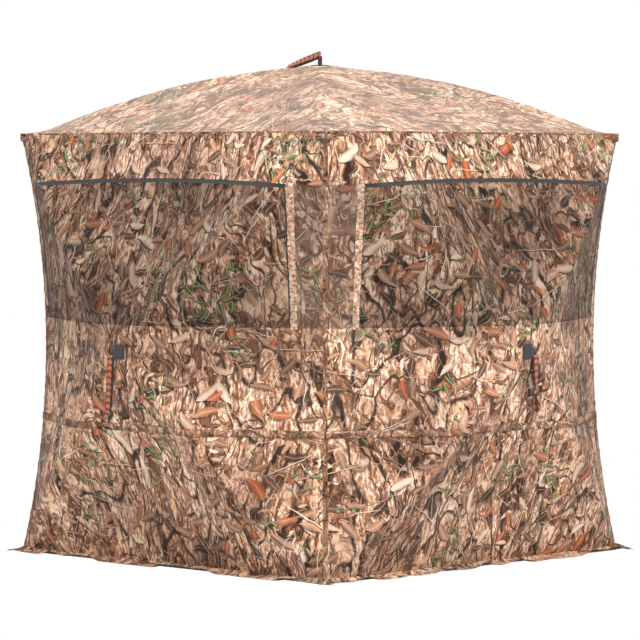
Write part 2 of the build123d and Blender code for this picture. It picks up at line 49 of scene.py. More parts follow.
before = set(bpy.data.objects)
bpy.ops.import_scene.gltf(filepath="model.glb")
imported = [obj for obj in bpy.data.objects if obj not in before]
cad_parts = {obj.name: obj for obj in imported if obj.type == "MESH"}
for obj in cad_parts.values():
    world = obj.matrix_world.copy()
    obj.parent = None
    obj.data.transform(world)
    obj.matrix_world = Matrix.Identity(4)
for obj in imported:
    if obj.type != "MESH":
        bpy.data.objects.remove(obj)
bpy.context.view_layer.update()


def middle(node, axis):
    """Middle of a CAD node's box along an axis, to a tenth of a millimetre."""
    low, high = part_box(node)
    return round((low[axis] + high[axis]) / 2, 4)


# ---- the blind's lines, in metres ---------------------------------------------------------------
WALLS = ("front", "right", "back", "left")
HALF = 0.731                          # half the side of the square at the eave and at the foot
EAVE = 1.450                          # height of the eave
HUB_Z = middle("front_hub", 2)        # height of the wall hubs
HUB_OUT = -middle("front_hub", 1)     # from the blind's axis to the middle of a wall hub
ROOF_Z = middle("roof_hub", 2)        # height of the middle of the roof hub
INSET = 0.059                         # how far the corner edges bow in at mid height
BOW = 0.046                           # bow of a rod over its chord
PIN = 0.048                           # from a hub's centre to a rod's pin
BALL = (0.690, 0.712, 0.030, 1.405)   # wall rods' corner balls: across, out, low, high
ROOF_BALL = (0.688, 1.434)            # roof rods' corner balls: each way, height
CLOTH_OVER = 0.0145                   # cloth over the middle of a rod
HUB_FACE = 0.0178                     # cloth over the middle of a hub
FIELD_N, ROOF_N = 241, 201            # points along the walls' and the canopy's fields
BELT_Z = 0.4735                       # height of the belt
FAR_S, NEAR_S = 0.945, 0.862          # ends of the windows, as shares of the wall's half width
STRAP_SIDE = (-1, 1, -1, 1)           # the side of each wall's patch that its strap hangs on
STRAP_HANG = ((0.075, 0.0), (0.0, 1.35), (0.03, 0.2), (0.0, 0.3))   # their lean and twist, radians
KEY_AT, KEY, FILL, WORLD = (5.6, -3.7, 7.0), 860, 50, 0.60   # lamps and world
DOOR = ((0.285, 0.490, 0.970), (0.660, 0.130, 1.330))   # doorway's two upright sides: u, low, high


# ---- sizes and colours that a user would change -------------------------------------------------
def rgb(r, g, b):
    """sRGB 0-255 to linear RGBA."""
    out = [c / 255 for c in (r, g, b)]
    return tuple((c / 12.92 if c <= 0.04045 else ((c + 0.055) / 1.055) ** 2.4) for c in out) + (1.0,)


def length(name, text, default, low=0.0, high=1.0):
    """A length in metres."""
    return FloatProperty(name=name, description=text, default=default, min=low, max=high,
                         precision=4, unit="LENGTH")


def colour(name, text, default):
    """A colour, given as sRGB 0-255."""
    return FloatVectorProperty(name=name, description=text, default=rgb(*default)[:3], min=0.0,
                               max=1.0, size=3, subtype="COLOR")


class BlindSizes(bpy.types.PropertyGroup):
    """Sizes of the sewn details."""

    wrinkle: length("Wrinkle depth", "Depth of the small folds in the cloth", 0.0022, 0.0, 0.004)
    window_low: length("Window sill", "Height of the windows' lower edge", 0.815, 0.6, 1.1)
    belt_wide: length("Belt width", "Width of the webbing round the walls", 0.024, 0.01, 0.05)
    flap_wide: length("Ground flap", "Least width of the flaps round the foot", 0.060, 0.03, 0.09)
    patch_side: length("Hub patch", "Side of the square patch over a hub", 0.049, 0.03, 0.06)
    strap_wide: length("Strap width", "Width of the pull straps", 0.0265, 0.015, 0.03)
    rod_radius: length("Rod radius", "Radius of the rods' round stock", 0.0045, 0.002, 0.006)


class BlindColours(bpy.types.PropertyGroup):
    """Colours of the print, the webbing and the rods."""

    dark: colour("Print dark", "Darkest brown of the print", (44, 30, 23))
    bark: colour("Print bark", "Middle brown of the print", (128, 88, 64))
    tan: colour("Print tan", "Light brown of the print", (186, 146, 118))
    cream: colour("Print cream", "Palest colour of the print", (230, 206, 186))
    rust: colour("Print rust", "Orange brown leaves of the print", (184, 98, 50))
    green: colour("Print green", "Green blades of the print", (92, 124, 66))
    # webbing also colours the black strips of painted shade along the windows and beside the corner hems
    webbing: colour("Webbing", "Straps, patches and tapes", (18, 18, 19))
    motif: colour("Strap motif", "Woven dashes on the pull straps", (214, 98, 30))
    rod: colour("Rods", "Glass fibre rods", (40, 40, 42))


def sizes():
    """The scene's sizes."""
    return bpy.context.scene.blind_sizes


def tone(name):
    """One of the scene's colours as RGBA."""
    return tuple(getattr(bpy.context.scene.blind_colours, name)) + (1.0,)


# ---- shape of the stretched cloth ---------------------------------------------------------------
def corner_half(z):
    """Half the wall's width at height z: HALF less a parabola that is INSET deep at mid height."""
    t = (z - EAVE / 2) / (EAVE / 2)
    return HALF - INSET * (1 - t * t)


def arc_rise(share, height, reach):
    """Rise of a rod's circular arc over its ball, at a share of the way across to the hub."""
    t = np.clip(share * reach / (reach - PIN), 0, 1)
    return height * t + 4 * BOW * t * (1 - t)


def relax(field, floor, fixed, rounds):
    """Laplace membrane: each free point moves to its neighbours' mean and stays over the floor."""
    for _ in range(rounds):
        mean = field.copy()
        mean[1:-1, 1:-1] = (field[:-2, 1:-1] + field[2:, 1:-1] + field[1:-1, :-2] + field[1:-1, 2:]) / 4
        mean = np.maximum(mean, floor)
        field = np.where(fixed, field, mean)
    return field


def wrinkles(a, b, seed):
    """Sum of a few slanted sines with slow phase, about +-1, over two lengths in metres."""
    rng = np.random.default_rng(seed)
    total = np.zeros_like(a)
    for _ in range(7):
        way = rng.uniform(0, math.pi)
        wave = rng.uniform(9, 34)
        phase = 2.0 * np.sin(a * rng.uniform(2, 6) + b * rng.uniform(2, 6) + rng.uniform(0, 6))
        total += np.sin((a * math.cos(way) + b * math.sin(way)) * wave + phase) / (1 + wave / 14)
    return total / 2.2


def fade(x, width):
    """Smooth step from 0 at x = 0 to 1 at x = width."""
    t = np.clip(x / width, 0, 1)
    return t ** 2 * (3 - 2 * t)


def between(field, a, b):
    """Bilinear value of a field at shares a and b of its two sides, 0 to 1."""
    rows, cols = field.shape
    i = np.clip(a * (rows - 1), 0, rows - 1.001)
    j = np.clip(b * (cols - 1), 0, cols - 1.001)
    i0, j0 = i.astype(int), j.astype(int)
    a, b = i - i0, j - j0
    return (field[i0, j0] * (1 - a) * (1 - b) + field[i0 + 1, j0] * a * (1 - b)
            + field[i0, j0 + 1] * (1 - a) * b + field[i0 + 1, j0 + 1] * a * b)


def over_rod(floor, along, off, reach, low, rise, half):
    """Raise a floor to the cloth over one rod: its arc, falling off as the square of off."""
    over = low + arc_rise(along / reach, rise, reach) + CLOTH_OVER
    on = (np.abs(off) < half) & (along > 0.02) & (along < reach)
    return np.where(on, np.maximum(floor, over - off ** 2 * 20), floor)


def wall_field():
    """Outward depth of the wall's cloth over (share across, height), stretched over the rods.

    A Laplace membrane: held at the wall's four edges, and pushed out by the rods and the hub.
    """
    s, z = np.meshgrid(np.linspace(-1, 1, FIELD_N), np.linspace(0, EAVE, FIELD_N), indexing="ij")
    edge = corner_half(z)
    u = edge * s
    floor = np.full_like(u, -9.0)
    across, out, low, high = BALL
    for side in (-1, 1):
        for foot in (low, high):
            line = np.array([-side * across, HUB_Z - foot])
            reach = np.linalg.norm(line)
            way = line / reach
            along = (u - side * across) * way[0] + (z - foot) * way[1]
            off = (u - side * across) * way[1] - (z - foot) * way[0]
            floor = over_rod(floor, along, off, reach, out, HUB_OUT - out, 0.012)
    floor = np.where(np.hypot(u, z - HUB_Z) < 0.068, HUB_OUT + HUB_FACE, floor)
    ridge = np.clip(1 - np.maximum(np.abs(u) / 0.69, np.abs(z - HUB_Z) / 0.69), 0, 1)
    field = np.maximum(edge * (1 - ridge) + 0.93 * ridge, floor)
    fixed = np.zeros(u.shape, bool)
    fixed[0], fixed[-1], fixed[:, 0], fixed[:, -1] = True, True, True, True
    return relax(np.where(fixed, edge, field), floor, fixed, 3000)


def roof_field():
    """Height of the canopy over the square: a membrane held at the eave, over four rods and a hub."""
    line = np.linspace(-HALF, HALF, ROOF_N)
    x, y = np.meshgrid(line, line, indexing="ij")
    floor = np.full_like(x, -9.0)
    at, low = ROOF_BALL
    reach = at * math.sqrt(2)
    for sx in (-1, 1):
        for sy in (-1, 1):
            along = reach - (x * sx + y * sy) / math.sqrt(2)
            off = (x * sy - y * sx) / math.sqrt(2)
            floor = over_rod(floor, along, off, reach, low, ROOF_Z - low, 0.011)
    floor = np.where(np.hypot(x, y) < 0.066, ROOF_Z + HUB_FACE, floor)
    side = np.maximum(np.abs(x), np.abs(y)) / HALF
    field = np.maximum(EAVE + (ROOF_Z + HUB_FACE - EAVE) * (1 - side), floor)
    fixed = side > 0.9999
    return relax(np.where(fixed, EAVE, field), floor, fixed, 2600)


FIELD = wall_field()
ROOF = roof_field()


def roof_height(x, y):
    """Height of the canopy at x, y: the stretched field plus its wrinkles."""
    r = np.hypot(x, y)
    turn = np.arctan2(y, x)
    side = 1 - np.maximum(np.abs(x), np.abs(y)) / HALF
    fold = 0.0016 * wrinkles(x, y, 41) + 0.002 * np.exp(-((r - 0.12) / 0.08) ** 2) * np.sin(15 * turn)
    field = between(ROOF, (x + HALF) / (2 * HALF), (y + HALF) / (2 * HALF))
    return field + fold * fade(side, 0.12) * fade(r - 0.06, 0.05)


def wall_depth(k, s, z):
    """Depth of wall k's cloth at share s and height z: the stretched field plus its wrinkles."""
    u = corner_half(z) * s
    r = np.hypot(u, z - HUB_Z)
    turn = np.arctan2(z - HUB_Z, u)
    fold = sizes().wrinkle * wrinkles(u, z, 11 + k)
    fold += 0.0035 * np.exp(-((r - 0.13) / 0.09) ** 2) * np.sin(13 * turn + 3 * np.sin(2 * turn + k))
    for su in (-1, 1):
        for zc in (0.0, EAVE):
            d = np.hypot(u - su * HALF, z - zc)
            way = np.arctan2(z - zc, u - su * HALF)
            fold += 0.003 * np.exp(-((d - 0.16) / 0.13) ** 2) * np.sin(17 * way + k + zc)
    hold = fade(1 - np.abs(s), 0.10) * fade(z, 0.06) * fade(EAVE - z, 0.05) * fade(r - 0.045, 0.05)
    return between(FIELD, (s + 1) / 2, z / EAVE) + fold * hold


def turn_k(points, k):
    """Points of the front wall's frame, turned about Z to wall k."""
    for _ in range(k % 4):
        points = np.stack([-points[..., 1], points[..., 0], points[..., 2]], -1)
    return points


def wall_points(k, s, z, lift=0.0):
    """Points of wall k's cloth at share s and height z, lifted off it by a length."""
    n = wall_depth(k, s, z) + lift
    return turn_k(np.stack([corner_half(z) * s, -n, z + 0 * s], -1), k)


# ---- mesh helpers -------------------------------------------------------------------------------
def mesh_object(name, verts, faces, uvs=None, material=None, smooth=True):
    """A linked object at the origin from points, faces and one UV pair a point."""
    mesh = bpy.data.meshes.new(name)
    mesh.from_pydata(np.asarray(verts, float).tolist(), [], faces)
    mesh.update()
    if uvs is not None:
        layer = mesh.uv_layers.new(name="UVMap")
        loops = np.empty(len(mesh.loops), int)
        mesh.loops.foreach_get("vertex_index", loops)
        layer.data.foreach_set("uv", np.asarray(uvs, float)[loops].ravel())
    if smooth:
        mesh.polygons.foreach_set("use_smooth", [True] * len(mesh.polygons))
    obj = bpy.data.objects.new(name, mesh)
    bpy.context.scene.collection.objects.link(obj)
    if material:
        obj.data.materials.append(material)
    return obj


def surface_area(obj):
    """Sum of the piece's face areas in square metres, the cloth that it takes."""
    areas = np.empty(len(obj.data.polygons))
    obj.data.polygons.foreach_get("area", areas)
    return float(areas.sum())


def cloth(obj, flat):
    """Work out a sheet's cloth area: its surface, less what its openings, arches and slants take away, and
    at most flat's two sides multiplied; the area is not kept.
    """
    area = min(surface_area(obj), flat[0] * flat[1])


def grid_faces(rows, cols, base=0, loop=False, flip=False):
    """Four-sided faces of a grid of points, closed along its columns or turned over if asked."""
    i, j = np.meshgrid(np.arange(rows - 1), np.arange(cols if loop else cols - 1), indexing="ij")
    m = (j + 1) % cols
    faces = base + np.stack([i * cols + j, i * cols + m, (i + 1) * cols + m, (i + 1) * cols + j], -1)
    return (faces[..., ::-1] if flip else faces).reshape(-1, 4).tolist()


def wall_sheet(name, k, panels, material, lift=0.0, step=0.011):
    """One object of several panels (from, to, low, high): surfaces of wall_points on even grids.

    The two sides are shares of the half width, or (u,) for a distance from the middle; low and
    high are heights, or functions of the side's value.
    """
    verts, faces, uvs = [], [], []
    base = 0
    for a, b, z0, z1 in panels:
        v0, v1 = (e[0] if isinstance(e, tuple) else e for e in (a, b))
        scale = 1.0 if isinstance(a, tuple) or isinstance(b, tuple) else HALF
        low = z0 if callable(z0) else (lambda x, v=z0: 0 * x + v)
        top = z1 if callable(z1) else (lambda x, v=z1: 0 * x + v)
        cols = max(3, int(abs(v1 - v0) * scale / step) + 1)
        ends = np.linspace(v0, v1, 5)
        rows = max(3, int(np.max(top(ends) - low(ends)) / step) + 1)
        t, q = np.meshgrid(np.linspace(0, 1, rows), np.linspace(0, 1, cols), indexing="ij")
        x = v0 + (v1 - v0) * q
        z = low(x) * (1 - t) + top(x) * t
        s0, s1 = (e[0] / corner_half(z) if isinstance(e, tuple) else e for e in (a, b))
        s = s0 * (1 - q) + s1 * q
        verts.append(wall_points(k, s, z, lift).reshape(-1, 3))
        uvs.append(np.stack([corner_half(z) * s + 2.1 * k + 3, z], -1).reshape(-1, 2))
        faces += grid_faces(rows, cols, base)
        base += rows * cols
    return mesh_object(name, np.vstack(verts), faces, np.vstack(uvs), material)


def tube(points, radius, sides=12):
    """Rings round a path, with the ends closed."""
    p = np.asarray(points)
    way = np.gradient(p, axis=0)
    way /= np.linalg.norm(way, axis=1)[:, None]
    up = np.array([0.31, 0.52, 0.79])
    a = np.cross(way, up)
    a /= np.linalg.norm(a, axis=1)[:, None]
    b = np.cross(way, a)
    turn = np.linspace(0, 2 * math.pi, sides, endpoint=False)
    r = np.broadcast_to(np.asarray(radius, float), (len(p),))[:, None, None]
    cos, sin = np.cos(turn)[None, :, None], np.sin(turn)[None, :, None]
    ring = p[:, None] + r * (a[:, None] * cos + b[:, None] * sin)
    verts = np.vstack([ring.reshape(-1, 3), p[:1], p[-1:]])
    faces = grid_faces(len(p), sides, loop=True)
    last = (len(p) - 1) * sides
    tip, end = len(p) * sides, len(p) * sides + 1
    faces += [(tip, (j + 1) % sides, j) for j in range(sides)]
    faces += [(end, last + j, last + (j + 1) % sides) for j in range(sides)]
    return verts, faces


def strap_loop(path, wide, thick, side):
    """A closed band of webbing along a path, wide across it, with rounded thin edges."""
    p = np.asarray(path)
    n = len(p)
    way = np.gradient(p, axis=0)
    way /= np.linalg.norm(way, axis=1)[:, None]
    side = np.broadcast_to(side, p.shape)
    out = np.cross(way, side)
    out /= np.linalg.norm(out, axis=1)[:, None]
    shape = [(-0.5, 0.0), (-0.46, 0.5), (-0.2, 0.55), (0.2, 0.55), (0.46, 0.5), (0.5, 0.0),
             (0.46, -0.5), (0.2, -0.55), (-0.2, -0.55), (-0.46, -0.5)]
    ring = np.stack([p + side * (wide * a) + out * (thick * b) for a, b in shape], 1)
    run = np.concatenate([[0], np.cumsum(np.linalg.norm(np.diff(p, axis=0), axis=1))])
    uvs = np.stack([np.broadcast_to(np.array([wide * a for a, _ in shape]), (n, len(shape))),
                    np.broadcast_to(run[:, None], (n, len(shape)))], -1).reshape(-1, 2)
    faces = grid_faces(n, len(shape), loop=True)
    first = list(range(len(shape)))
    faces += [first[::-1], [(n - 1) * len(shape) + j for j in first]]
    return ring.reshape(-1, 3), faces, uvs


# ---- shader helpers -----------------------------------------------------------------------------
class Nodes:
    """Short hand for building a node tree."""

    def __init__(self, tree):
        self.tree = tree

    def add(self, kind, **settings):
        """A new node with its settings, and inputs={socket: value or another node's socket}."""
        node = self.tree.nodes.new(kind)
        inputs = settings.pop("inputs", {})
        for key, value in settings.items():
            setattr(node, key, value)
        for key, value in inputs.items():
            self.put(node.inputs[key], value)
        return node

    def put(self, socket, value):
        """Link a socket to another, or give it a value."""
        if isinstance(value, bpy.types.NodeSocket):
            self.tree.links.new(value, socket)
        else:
            socket.default_value = value

    def math(self, op, a, b=None, clamp=False):
        node = self.add("ShaderNodeMath", operation=op, use_clamp=clamp)
        for socket, value in zip(node.inputs, (a, b)):
            if value is not None:
                self.put(socket, value)
        return node.outputs[0]

    def vec(self, op, a, b):
        node = self.add("ShaderNodeVectorMath", operation=op)
        self.put(node.inputs[0], a)
        self.put(node.inputs[3 if op == "SCALE" else 1], b)
        return node.outputs[0]

    def mix(self, factor, a, b, blend="MIX"):
        node = self.add("ShaderNodeMix", data_type="RGBA", blend_type=blend)
        self.put(node.inputs[0], factor)
        self.put(node.inputs[6], a)
        self.put(node.inputs[7], b)
        return node.outputs[2]

    def ramp(self, value, stops):
        node = self.add("ShaderNodeValToRGB")
        ramp = node.color_ramp
        while len(ramp.elements) < len(stops):
            ramp.elements.new(0.5)
        for element, (at, shade) in zip(ramp.elements, stops):
            element.position = at
            element.color = shade
        self.put(node.inputs[0], value)
        return node.outputs[0]

    def noise(self, vector, scale, detail=3.0, rough=0.55, distort=0.0):
        node = self.add("ShaderNodeTexNoise",
                        inputs={"Vector": vector, "Scale": scale, "Detail": detail,
                                "Roughness": rough, "Distortion": distort})
        return node.outputs


def new_group(name, inputs, outputs):
    """A shader node group with named sockets: the group, its Nodes, and its two end nodes."""
    group = bpy.data.node_groups.new(name, "ShaderNodeTree")
    for label, kind, value in inputs:
        socket = group.interface.new_socket(label, in_out="INPUT", socket_type=kind)
        if value is not None:
            socket.default_value = value
    for label, kind in outputs:
        group.interface.new_socket(label, in_out="OUTPUT", socket_type=kind)
    n = Nodes(group)
    return group, n, n.add("NodeGroupInput"), n.add("NodeGroupOutput")


def leaf_group():
    """Scattered pointed leaves: one in each cell, turned and sized by the cell's random colour."""
    group, n, gin, gout = new_group(
        "Scattered leaves",
        [("Vector", "NodeSocketVector", None), ("Cell", "NodeSocketFloat", 0.14),
         ("Long", "NodeSocketFloat", 0.045), ("Wide", "NodeSocketFloat", 0.018),
         ("Shift", "NodeSocketFloat", 0.0), ("Share", "NodeSocketFloat", 0.8),
         ("Soft", "NodeSocketFloat", 0.0025)],
        [("Mask", "NodeSocketFloat"), ("Rib", "NodeSocketFloat"), ("Random", "NodeSocketFloat"),
         ("Shade", "NodeSocketFloat")])
    shift = n.add("ShaderNodeCombineXYZ")
    n.put(shift.inputs[0], gin.outputs["Shift"])
    n.put(shift.inputs[1], n.math("MULTIPLY", gin.outputs["Shift"], 0.731))
    at = n.vec("ADD", gin.outputs["Vector"], shift.outputs[0])
    cells = n.add("ShaderNodeTexVoronoi", voronoi_dimensions="2D", feature="F1",
                  inputs={"Vector": at, "Scale": n.math("DIVIDE", 1.0, gin.outputs["Cell"]),
                          "Randomness": 0.75})
    local = n.vec("SUBTRACT", at, cells.outputs["Position"])
    tone = n.add("ShaderNodeSeparateColor", inputs={"Color": cells.outputs["Color"]})
    spin = n.add("ShaderNodeVectorRotate", rotation_type="Z_AXIS",
                 inputs={"Vector": local, "Angle": n.math("MULTIPLY", tone.outputs[0], 6.2832)})
    axes = n.add("ShaderNodeSeparateXYZ", inputs={"Vector": spin.outputs[0]})
    size = n.math("ADD", n.math("MULTIPLY", tone.outputs[1], 0.6), 0.65)
    x = n.math("DIVIDE", axes.outputs[0], n.math("MULTIPLY", gin.outputs["Long"], size))
    bend = n.math("MULTIPLY", n.math("MULTIPLY", x, x), n.math("MULTIPLY", gin.outputs["Wide"], 0.45))
    y = n.math("ABSOLUTE", n.math("SUBTRACT", axes.outputs[1], bend))
    room = n.math("SUBTRACT", 1.0, n.math("MULTIPLY", x, x))
    taper = n.math("MULTIPLY", room, n.math("SUBTRACT", 1.0, n.math("MULTIPLY", x, 0.35)))
    reach = n.math("MULTIPLY", taper, n.math("MULTIPLY", gin.outputs["Wide"], size))
    inside = n.math("DIVIDE", n.math("SUBTRACT", reach, y), gin.outputs["Soft"], clamp=True)
    kept = n.math("LESS_THAN", tone.outputs[2], gin.outputs["Share"])
    mask = n.math("MULTIPLY", inside, kept)
    rib = n.math("SUBTRACT", 1.0, n.math("DIVIDE", y, 0.0016), clamp=True)
    n.put(gout.inputs["Mask"], mask)
    n.put(gout.inputs["Rib"], n.math("MULTIPLY", rib, mask))
    n.put(gout.inputs["Random"], n.math("FRACT", n.math("MULTIPLY", tone.outputs[2], 7.31)))
    n.put(gout.inputs["Shade"], n.math("DIVIDE", axes.outputs[1], gin.outputs["Wide"]))
    return group


def leaves(n, group, vector, **values):
    """Place the leaf group in a tree, with its values by their names in small letters."""
    node = n.add("ShaderNodeGroup", node_tree=group)
    n.put(node.inputs["Vector"], vector)
    for key, value in values.items():
        n.put(node.inputs[key.capitalize()], value)
    return node.outputs


def print_layer(n, leaf, vector, base, values, stops, strength, shadow=0.0, where=None):
    """Lay one leaf layer over a colour, with a soft dark copy a few millimetres below it."""
    if shadow:
        under = leaves(n, leaf, n.vec("ADD", vector, (0.0035, 0.0045, 0.0)), **values)["Mask"]
        under = n.math("MULTIPLY", under, shadow) if where is None else n.math(
            "MULTIPLY", n.math("MULTIPLY", under, shadow), where)
        base = n.mix(under, base, tone("dark"))
    made = leaves(n, leaf, vector, **values)
    tint = n.ramp(made["Random"], stops)
    edge = n.math("MULTIPLY", made["Shade"], made["Shade"])
    tint = n.mix(n.math("MULTIPLY", edge, 0.55, clamp=True), tint, tone("dark"))
    tint = n.mix(n.math("MULTIPLY", made["Rib"], 0.55), tint, tone("cream"))
    mask = n.math("MULTIPLY", made["Mask"], strength)
    if where is not None:
        mask = n.math("MULTIPLY", mask, where)
    return n.mix(mask, base, tint)


LIMBS = (   # noise scale, level, half width in noise, slant, pale or dark, place
    (4.0, 0.50, 0.030, 0.35, True, 1.3),
    (5.5, 0.47, 0.020, -0.5, True, 4.1),
    (8.0, 0.52, 0.007, 0.8, False, 7.7),
    (10.0, 0.50, 0.0075, -0.9, True, 9.4),
    (13.0, 0.46, 0.0045, 0.1, True, 12.9),
)


def camo_group(leaf):
    """A generic woodland print in metres: crackled bark, litter, leaves, blades, twigs and limbs."""
    group, n, gin, gout = new_group(
        "Woodland print", [("Vector", "NodeSocketVector", None)],
        [("Color", "NodeSocketColor"), ("Height", "NodeSocketFloat")])
    uv = gin.outputs["Vector"]
    black, white = (0, 0, 0, 1), (1, 1, 1, 1)
    dark, bark, tan, cream = (tone(c) for c in ("dark", "bark", "tan", "cream"))
    rust, green = tone("rust"), tone("green")
    wobble = n.noise(uv, 14.0, 3.0)["Color"]
    warped = n.vec("ADD", uv, n.vec("SCALE", n.vec("SUBTRACT", wobble, (0.5, 0.5, 0.5)), 0.024))
    stretch = n.add("ShaderNodeMapping", inputs={"Vector": warped, "Scale": (1.0, 0.33, 1.0)}).outputs[0]
    streak = n.noise(stretch, 17.0, 8.0, 0.66, 0.8)["Fac"]
    base = n.ramp(streak, [(0.37, dark), (0.43, bark), (0.475, tan), (0.53, cream), (0.58, tan),
                           (0.62, bark), (0.66, dark)])
    cells = n.add("ShaderNodeTexVoronoi", voronoi_dimensions="2D", feature="DISTANCE_TO_EDGE",
                  inputs={"Vector": stretch, "Scale": 42.0, "Randomness": 1.0}).outputs["Distance"]
    crack = n.ramp(cells, [(0.02, white), (0.07, black)])
    patchy = n.ramp(n.noise(uv, 7.0, 2.0)["Fac"], [(0.45, black), (0.55, white)])
    base = n.mix(n.math("MULTIPLY", n.math("MULTIPLY", crack, patchy), 0.75), base, dark)
    pale = n.ramp(n.noise(uv, 6.0, 5.0, 0.6, 0.5)["Fac"], [(0.53, black), (0.58, white)])
    base = n.mix(n.math("MULTIPLY", pale, 0.75), base, cream)
    deep = n.ramp(n.noise(warped, 10.0, 5.0, 0.6)["Fac"], [(0.55, black), (0.585, white)])
    base = n.mix(n.math("MULTIPLY", deep, 0.7), base, n.mix(0.5, dark, bark))
    fine = n.noise(stretch, 120.0, 4.0, 0.65)["Fac"]
    base = n.mix(0.45, base, n.ramp(fine, [(0.38, dark), (0.62, cream)]), "OVERLAY")
    litter = n.ramp(n.noise(uv, 8.5, 3.0)["Fac"], [(0.44, black), (0.50, white)])
    blades = n.ramp(n.noise(uv, 4.6, 2.0, 0.5, 0.3)["Fac"], [(0.585, black), (0.60, white)])
    rusty = n.ramp(n.noise(n.vec("ADD", uv, (3.1, 1.7, 0)), 5.5, 2.0)["Fac"],
                   [(0.53, black), (0.55, white)])
    layers = (
        (dict(cell=0.034, long=0.016, wide=0.006, shift=3.7, share=0.8, soft=0.001),
         [(0.0, dark), (0.5, bark), (1.0, dark)], 0.85, 0.0, litter),
        (dict(cell=0.041, long=0.019, wide=0.007, shift=8.2, share=0.75, soft=0.001),
         [(0.0, tan), (0.5, cream), (1.0, bark)], 0.9, 0.0, None),
        (dict(cell=0.075, long=0.032, wide=0.0115, shift=6.3, share=0.7, soft=0.0012),
         [(0.0, dark), (0.35, bark), (0.7, tan), (1.0, dark)], 0.9, 0.5, None),
        (dict(cell=0.095, long=0.042, wide=0.0135, shift=5.1, share=0.25, soft=0.0012),
         [(0.0, tan), (0.5, cream), (1.0, tan)], 0.92, 0.75, None),
        (dict(cell=0.085, long=0.040, wide=0.0150, shift=1.3, share=0.85, soft=0.0012),
         [(0.0, rust), (0.5, tan), (1.0, rust)], 0.92, 0.65, rusty),
        (dict(cell=0.15, long=0.085, wide=0.0022, shift=11.9, share=0.9, soft=0.001),
         [(0.0, dark), (1.0, bark)], 0.9, 0.0, None),
        (dict(cell=0.030, long=0.021, wide=0.0050, shift=12.4, share=0.95, soft=0.001),
         [(0.0, green), (0.6, green), (1.0, tan)], 0.95, 0.6, blades),
        (dict(cell=0.17, long=0.10, wide=0.0019, shift=15.9, share=0.9, soft=0.0008),
         [(0.0, cream), (1.0, tan)], 0.95, 0.6, None),
        (dict(cell=0.13, long=0.065, wide=0.0014, shift=18.3, share=0.8, soft=0.0008),
         [(0.0, cream), (1.0, cream)], 0.9, 0.0, None),
    )
    made = base
    for values, stops, strength, shadow, where in layers[:2]:
        made = print_layer(n, leaf, warped, made, values, stops, strength, shadow, where)
    for scale, at, wide, turn, pale, seed in LIMBS:
        slanted = n.add("ShaderNodeMapping", inputs={"Vector": warped, "Location": (seed, seed, 0.0),
                                                     "Rotation": (0.0, 0.0, turn),
                                                     "Scale": (1.0, 0.45, 1.0)}).outputs[0]
        level = n.noise(slanted, scale, 1.5, 0.45)["Fac"]
        off = n.math("ABSOLUTE", n.math("SUBTRACT", level, at))
        core = n.math("DIVIDE", n.math("SUBTRACT", wide, off), wide * 0.25, clamp=True)
        rim = n.math("DIVIDE", n.math("SUBTRACT", wide * 1.5, off), wide * 0.3, clamp=True)
        made = n.mix(n.math("MULTIPLY", rim, 0.92), made, dark)
        bark_tone = n.ramp(n.math("ADD", n.math("MULTIPLY", fine, 0.6), n.math("MULTIPLY", streak, 0.4)),
                           [(0.42, bark), (0.50, tan), (0.56, cream)]) if pale else bark
        made = n.mix(core, made, bark_tone)
    for values, stops, strength, shadow, where in layers[2:]:
        made = print_layer(n, leaf, warped, made, values, stops, strength, shadow, where)
    wide_tone = n.ramp(n.noise(uv, 3.3)["Fac"],
                       [(0.38, (0.68, 0.64, 0.62, 1)), (0.50, (1.0, 0.99, 0.98, 1)),
                        (0.62, (1.2, 1.19, 1.18, 1))])
    made = n.mix(1.0, made, wide_tone, "MULTIPLY")
    made = n.mix(0.22, made, made, "OVERLAY")
    n.put(gout.inputs["Color"], made)
    n.put(gout.inputs["Height"], fine)
    return group


def weave_group():
    """Plain weave: the product of two sines, threads over and under each other at a pitch."""
    group, n, gin, gout = new_group(
        "Plain weave", [("Vector", "NodeSocketVector", None), ("Pitch", "NodeSocketFloat", 0.0006)],
        [("Height", "NodeSocketFloat")])
    scaled = n.add("ShaderNodeVectorMath", operation="SCALE")
    n.put(scaled.inputs[0], gin.outputs["Vector"])
    n.put(scaled.inputs[3], n.math("DIVIDE", 6.2832, gin.outputs["Pitch"]))
    axes = n.add("ShaderNodeSeparateXYZ", inputs={"Vector": scaled.outputs[0]})
    n.put(gout.inputs["Height"], n.math("MULTIPLY", n.math("SINE", axes.outputs[0]),
                                        n.math("SINE", axes.outputs[1])))
    return group


def new_material(name):
    """A node material: itself, its Nodes and its Principled shader."""
    material = bpy.data.materials.new(name)
    material.use_nodes = True
    n = Nodes(material.node_tree)
    shader = material.node_tree.nodes["Principled BSDF"]
    return material, n, shader


